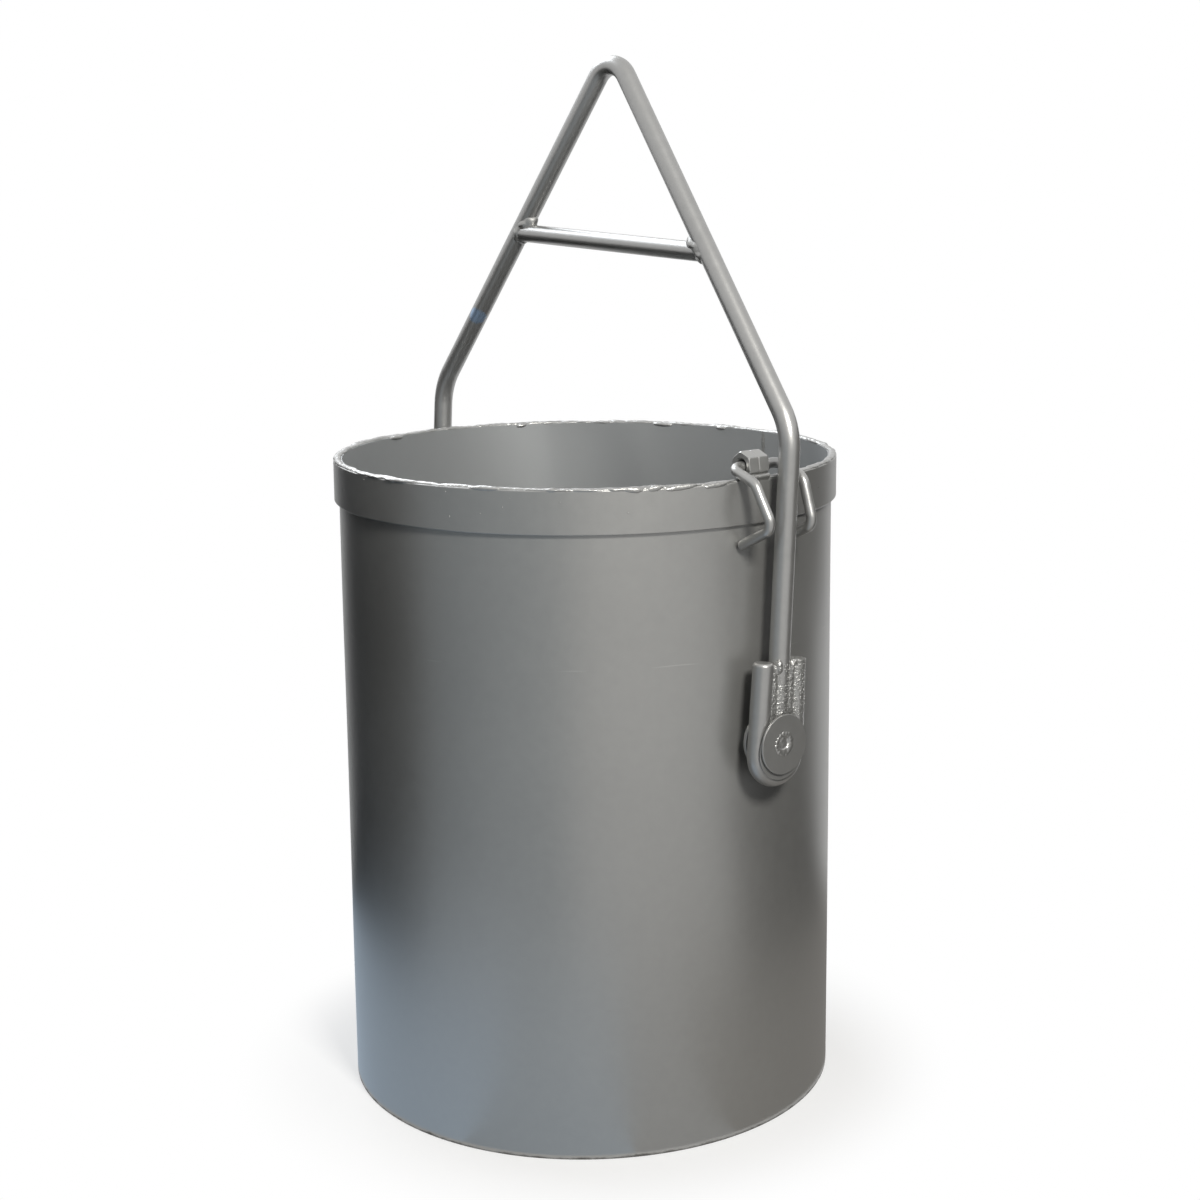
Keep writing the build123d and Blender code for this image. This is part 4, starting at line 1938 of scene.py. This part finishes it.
    def _press(self, blank: Blank) -> Blank:
        """Flatten the weld where it swings past the washers.

        Args:
            blank: The weld, in the upright bail.

        Returns:
            The same weld, within the room between the washers.
        """
        for vert in blank.bm.verts:
            if math.hypot(vert.co.y, vert.co.z) < self.washer_sweep:
                out = self.side.value * vert.co.x - PAIL.leg_reach
                out = min(max(out, -self.washer_room), self.washer_room)
                vert.co.x = self.side.value * (PAIL.leg_reach + out)
        return blank


@dataclass
class LatchWire:
    """Bent wire that turns in the nuts and straddles the bail's leg."""

    radius: float = 0.004
    sides: int = 28
    step: float = 2.5 * MM
    end_round: float = 0.8 * MM
    axis: Pair = (0.19427, 0.528388)
    near_leg: float = 0.0196
    far_leg: float = 0.030094
    pinch: float = math.radians(3.6)
    wire_bend: float = 0.008
    knee_bend: float = 0.010
    elbow_bend: float = 0.008
    knee_inset: float = 0.5 * MM
    knee_drop: float = 9.1 * MM
    near_elbow: float = 8.2 * MM
    far_elbow: float = 2.2 * MM
    toe_below_band: float = 15.25 * MM
    toe_slope: float = math.radians(26.4)
    clearance: float = 0.3 * MM
    skin: Skin = (Ripple(11.0 * MM, 0.10 * MM), Ripple(4.0 * MM, 0.05 * MM, 8.0))

    def build(self, shop: Workshop) -> None:
        """Make the wire.

        Args:
            shop: Where the piece is finished.
        """
        bends = (self.elbow_bend, self.knee_bend, self.wire_bend)
        bar = BentBar(self.radius, self.sides, self.step, self.end_round)
        blank = bar.draw(self.corners(), (*bends, *reversed(bends))).roughen(self.skin)
        shop.place("latch_bow", blank, Body.LATCH, Slot.LATCH, "latch_wire", sharp=50.0)

    def corners(self) -> list[Vector]:
        """Corners of the wire's centreline, from the near toe to the far one.

        Returns:
            The corners.
        """
        axis = Vector(self.axis)
        knee = Vector((PAIL.leg_reach - self.knee_inset, self.axis[1] - self.knee_drop))
        foot = PAIL.band_foot - self.toe_below_band
        middle = self.near_leg - self.closer(knee.y - foot) - self.radius
        wall = math.sqrt(PAIL.radius ** 2 - middle ** 2)
        toe = Vector((wall + self.clearance + self.radius * math.sin(self.toe_slope), foot))
        corners = []
        for point in (toe, self.elbow(toe, self.near_elbow), knee, axis):
            across = self.closer(knee.y - point.y) - self.near_leg
            corners.append(Vector((point.x, across, point.y)))
        for point in (axis, knee, self.elbow(toe, self.far_elbow), toe):
            corners.append(Vector((point.x, self.far_leg, point.y)))
        return corners

    def elbow(self, toe: Vector, reach: float) -> Vector:
        """Corner of a leg beyond the bail, on the toe's slope."""
        out = PAIL.leg_reach + PAIL.rod_radius + reach
        return Vector((out, toe.y + (out - toe.x) * math.tan(self.toe_slope)))

    def closer(self, below: float) -> float:
        """How far the near leg has closed in on the bail below its knee."""
        return max(0.0, below) * math.tan(self.pinch)


# The studio


@dataclass(frozen=True)
class Screen:
    """A card or curved screen that only reflections see.

    It spans from a start to an end angle round the pail, in degrees from the side that faces -Y.
    Its profile gives the distance from the pail's axis and the height of each corner.
    """

    name: str
    start: float
    end: float
    profile: Sequence[Pair]
    level: float
    tint: Colour = (1.0, 1.0, 1.0)


@dataclass(frozen=True)
class Softbox:
    """A rectangular lamp that points at a target."""

    name: str
    place: Triple
    target: Triple
    size: Pair
    radiance: float
    tint: Colour


DARK_PROFILE = ((0.50, 0.004), (0.85, 0.004), (0.85, 0.60))
FRONT_PROFILE = ((0.55, 0.004), (1.00, 0.004), (1.00, 0.72))
HIGH_PROFILE = ((1.00, 0.22), (1.00, 0.75))
LOW_PROFILE = ((0.50, 0.004), (1.00, 0.004), (1.00, 0.22))
LEFT_CARD = ((0.201, 0.003), (0.52, 0.003))
CARD = ((0.201, 0.003), (0.57, 0.003))
WHITE = (1.0, 1.0, 1.0, 1.0)


@dataclass
class Studio:
    """Floor, world, lamps, screens and camera."""

    floor_half: float = 9.0
    floor_tone: float = 0.86
    floor_bounce: float = 0.12
    floor_glow: float = 0.60
    floor_rough: float = 0.9
    floor_fade: Pair = (0.20, 0.31)
    ambient: float = 0.05
    screen_steps: int = 24
    camera_place: Triple = (1.28751, -1.04999, 0.74699)
    camera_yaw: float = 0.85021
    camera_pitch: float = 0.17838
    camera_roll: float = -0.00516
    lens: float = 61.507
    sensor: float = 36.0
    shift: Pair = (-0.0503, -0.0518)
    lamps: Sequence[Softbox] = (
        Softbox(
            "left_lamp", (-1.7, 0.06, 2.04), (0.0, 0.0, 0.5), (1.8, 1.2), 5.2, (0.96, 1.0, 1.05)
        ),
        Softbox(
            "key_lamp", (2.04, -0.70, 1.90), (0.0, 0.0, 0.45), (0.5, 0.5), 80.0, (1.0, 0.975, 0.92)
        ),
    )
    screens: Sequence[Screen] = (
        Screen("dark_screen", -86.0, -20.0, DARK_PROFILE, 0.0),
        Screen("left_screen", -20.0, 4.0, FRONT_PROFILE, 0.33, (0.88, 1.00, 1.10)),
        Screen("front_screen", 4.0, 44.0, FRONT_PROFILE, 0.42, (0.90, 1.00, 1.08)),
        Screen("key_screen", 44.0, 111.0, FRONT_PROFILE, 0.72),
        Screen("right_screen", 111.0, 182.0, HIGH_PROFILE, 0.04),
        Screen("right_low_screen", 111.0, 172.0, LOW_PROFILE, 0.04),
        Screen("left_foot_card", -98.0, 20.0, LEFT_CARD, 0.86, (0.80, 0.97, 1.17)),
        Screen("front_foot_card", 20.0, 60.0, CARD, 0.66, (0.86, 0.99, 1.13)),
        Screen("middle_foot_card", 60.0, 85.0, CARD, 0.50),
        Screen("right_foot_card", 85.0, 187.0, CARD, 0.34, (1.05, 1.00, 0.94)),
    )

    def build(self) -> None:
        """Set up the whole studio."""
        bpy.context.scene.view_settings.view_transform = "Standard"
        self.floor()
        self.world()
        for lamp in self.lamps:
            self.lamp(lamp)
        for screen in self.screens:
            self.screen(screen)
        self.camera()

    def seen(self, bench: PaintBench) -> Signal:
        """1 for rays of the camera and for rays that metal or glass sends on.

        Args:
            bench: The bench to build on.

        Returns:
            The mask.
        """
        path = bench.node("ShaderNodeLightPath").socket.node.outputs
        names = ("Is Camera Ray", "Is Glossy Ray", "Is Transmission Ray")
        camera, glossy, through = (Signal(bench, path[name]) for name in names)
        return bench.ease(camera + glossy + through, 0.0, 1.0)

    def floor(self) -> None:
        """Pale floor that turns to plain white away from the bucket."""
        blank = Blank()
        bmesh.ops.create_grid(blank.bm, x_segments=2, y_segments=2, size=self.floor_half)
        bench = PaintBench(bpy.data.materials.new("studio_floor"))
        away = bench.length(bench.place)
        seen = self.seen(bench)
        colour = bench.blend(seen, (self.floor_bounce,) * 3, (self.floor_tone,) * 3)
        matt = {"Base Color": colour, "Roughness": self.floor_rough, "Specular IOR Level": 0.0}
        near = bench.node("ShaderNodeBsdfPrincipled", feeds=matt)
        white = bench.node("ShaderNodeEmission", feeds={"Color": WHITE, "Strength": 1.0})
        fade = bench.ease(away, *self.floor_fade)
        share = (self.floor_glow + (1.0 - self.floor_glow) * fade) * seen
        mixed = bench.node("ShaderNodeMixShader", feeds={0: share, 1: near, 2: white})
        bench.finish("ShaderNodeOutputMaterial", mixed)
        self.stage("floor", blank, bench.owner)

    def world(self) -> None:
        """White surroundings to look at, and a softer light from them."""
        bench = PaintBench(bpy.data.worlds.new("studio"))
        bpy.context.scene.world = bench.owner
        strength = self.ambient + (1.0 - self.ambient) * self.seen(bench)
        feeds = {"Color": WHITE, "Strength": strength}
        bench.finish("ShaderNodeOutputWorld", bench.node("ShaderNodeBackground", feeds=feeds))

    def lamp(self, box: Softbox) -> None:
        """Hang one softbox.

        Args:
            box: Its sizes and light.
        """
        light = bpy.data.lights.new(box.name, "AREA")
        light.shape = "RECTANGLE"
        light.size, light.size_y = box.size
        light.color = box.tint
        light.energy = box.radiance * math.pi * box.size[0] * box.size[1]
        item = bpy.data.objects.new(box.name, light)
        aim = Vector(box.target) - Vector(box.place)
        turn = aim.to_track_quat("-Z", "Y").to_matrix().to_4x4()
        item.matrix_world = Matrix.Translation(box.place) @ turn
        bpy.context.scene.collection.objects.link(item)

    def screen(self, screen: Screen) -> None:
        """Stand one curved screen round the bucket.

        Args:
            screen: Its place, sizes and light.
        """
        blank = Blank()
        start = screen.start - 90.0
        corners = [PAIL.round_rim(start, radius, height) for radius, height in screen.profile]
        edges = blank.line(corners, closed=False)
        bmesh.ops.spin(
            blank.bm,
            geom=list(blank.bm.verts) + edges,
            cent=Vector(),
            axis=UP,
            angle=math.radians(screen.end - screen.start),
            steps=self.screen_steps,
        )
        bench = PaintBench(bpy.data.materials.new(screen.name))
        feeds = {"Color": (*screen.tint, 1.0), "Strength": screen.level}
        bench.finish("ShaderNodeOutputMaterial", bench.node("ShaderNodeEmission", feeds=feeds))
        item = self.stage(screen.name, blank, bench.owner)
        item.visible_camera = False
        item.visible_diffuse = False
        item.visible_shadow = False
        item.visible_transmission = False

    def stage(self, name: str, blank: Blank, material: bpy.types.Material) -> bpy.types.Object:
        """Make an object of the studio.

        Args:
            name: Its name.
            blank: Its mesh.
            material: Its material.

        Returns:
            The object.
        """
        item = blank.release(name)
        item.data.materials.append(material)
        return item

    def camera(self) -> None:
        """Set the camera as the photograph was taken."""
        lens = bpy.data.cameras.new("view")
        lens.lens = self.lens
        lens.sensor_width = self.sensor
        lens.shift_x, lens.shift_y = self.shift
        flat = math.cos(self.camera_pitch)
        east, north = math.cos(self.camera_yaw), math.sin(self.camera_yaw)
        ahead = Vector((-north * flat, east * flat, -math.sin(self.camera_pitch)))
        level = Vector((east, north, 0.0))
        upright = level.cross(ahead)
        cosine, sine = math.cos(self.camera_roll), math.sin(self.camera_roll)
        right = level * cosine + upright * sine
        above = upright * cosine - level * sine
        turn = Matrix((right, above, -ahead)).transposed().to_4x4()
        item = bpy.data.objects.new("view", lens)
        item.matrix_world = Matrix.Translation(self.camera_place) @ turn
        bpy.context.scene.collection.objects.link(item)
        bpy.context.scene.camera = item


def main() -> None:
    """Build the bucket and its studio."""
    logging.basicConfig(level=logging.INFO, format="%(message)s")
    Studio().build()
    shop = Workshop(PaintRack().mix())
    PailShell().build(shop)
    RimBand().build(shop)
    RimBead().build(shop)
    LatchNuts().build(shop)
    Bail().build(shop)
    for side in Side:
        Trunnion(side).build(shop)
        Stirrup(side).build(shop)
    LatchWire().build(shop)


if __name__ == "__main__":
    main()
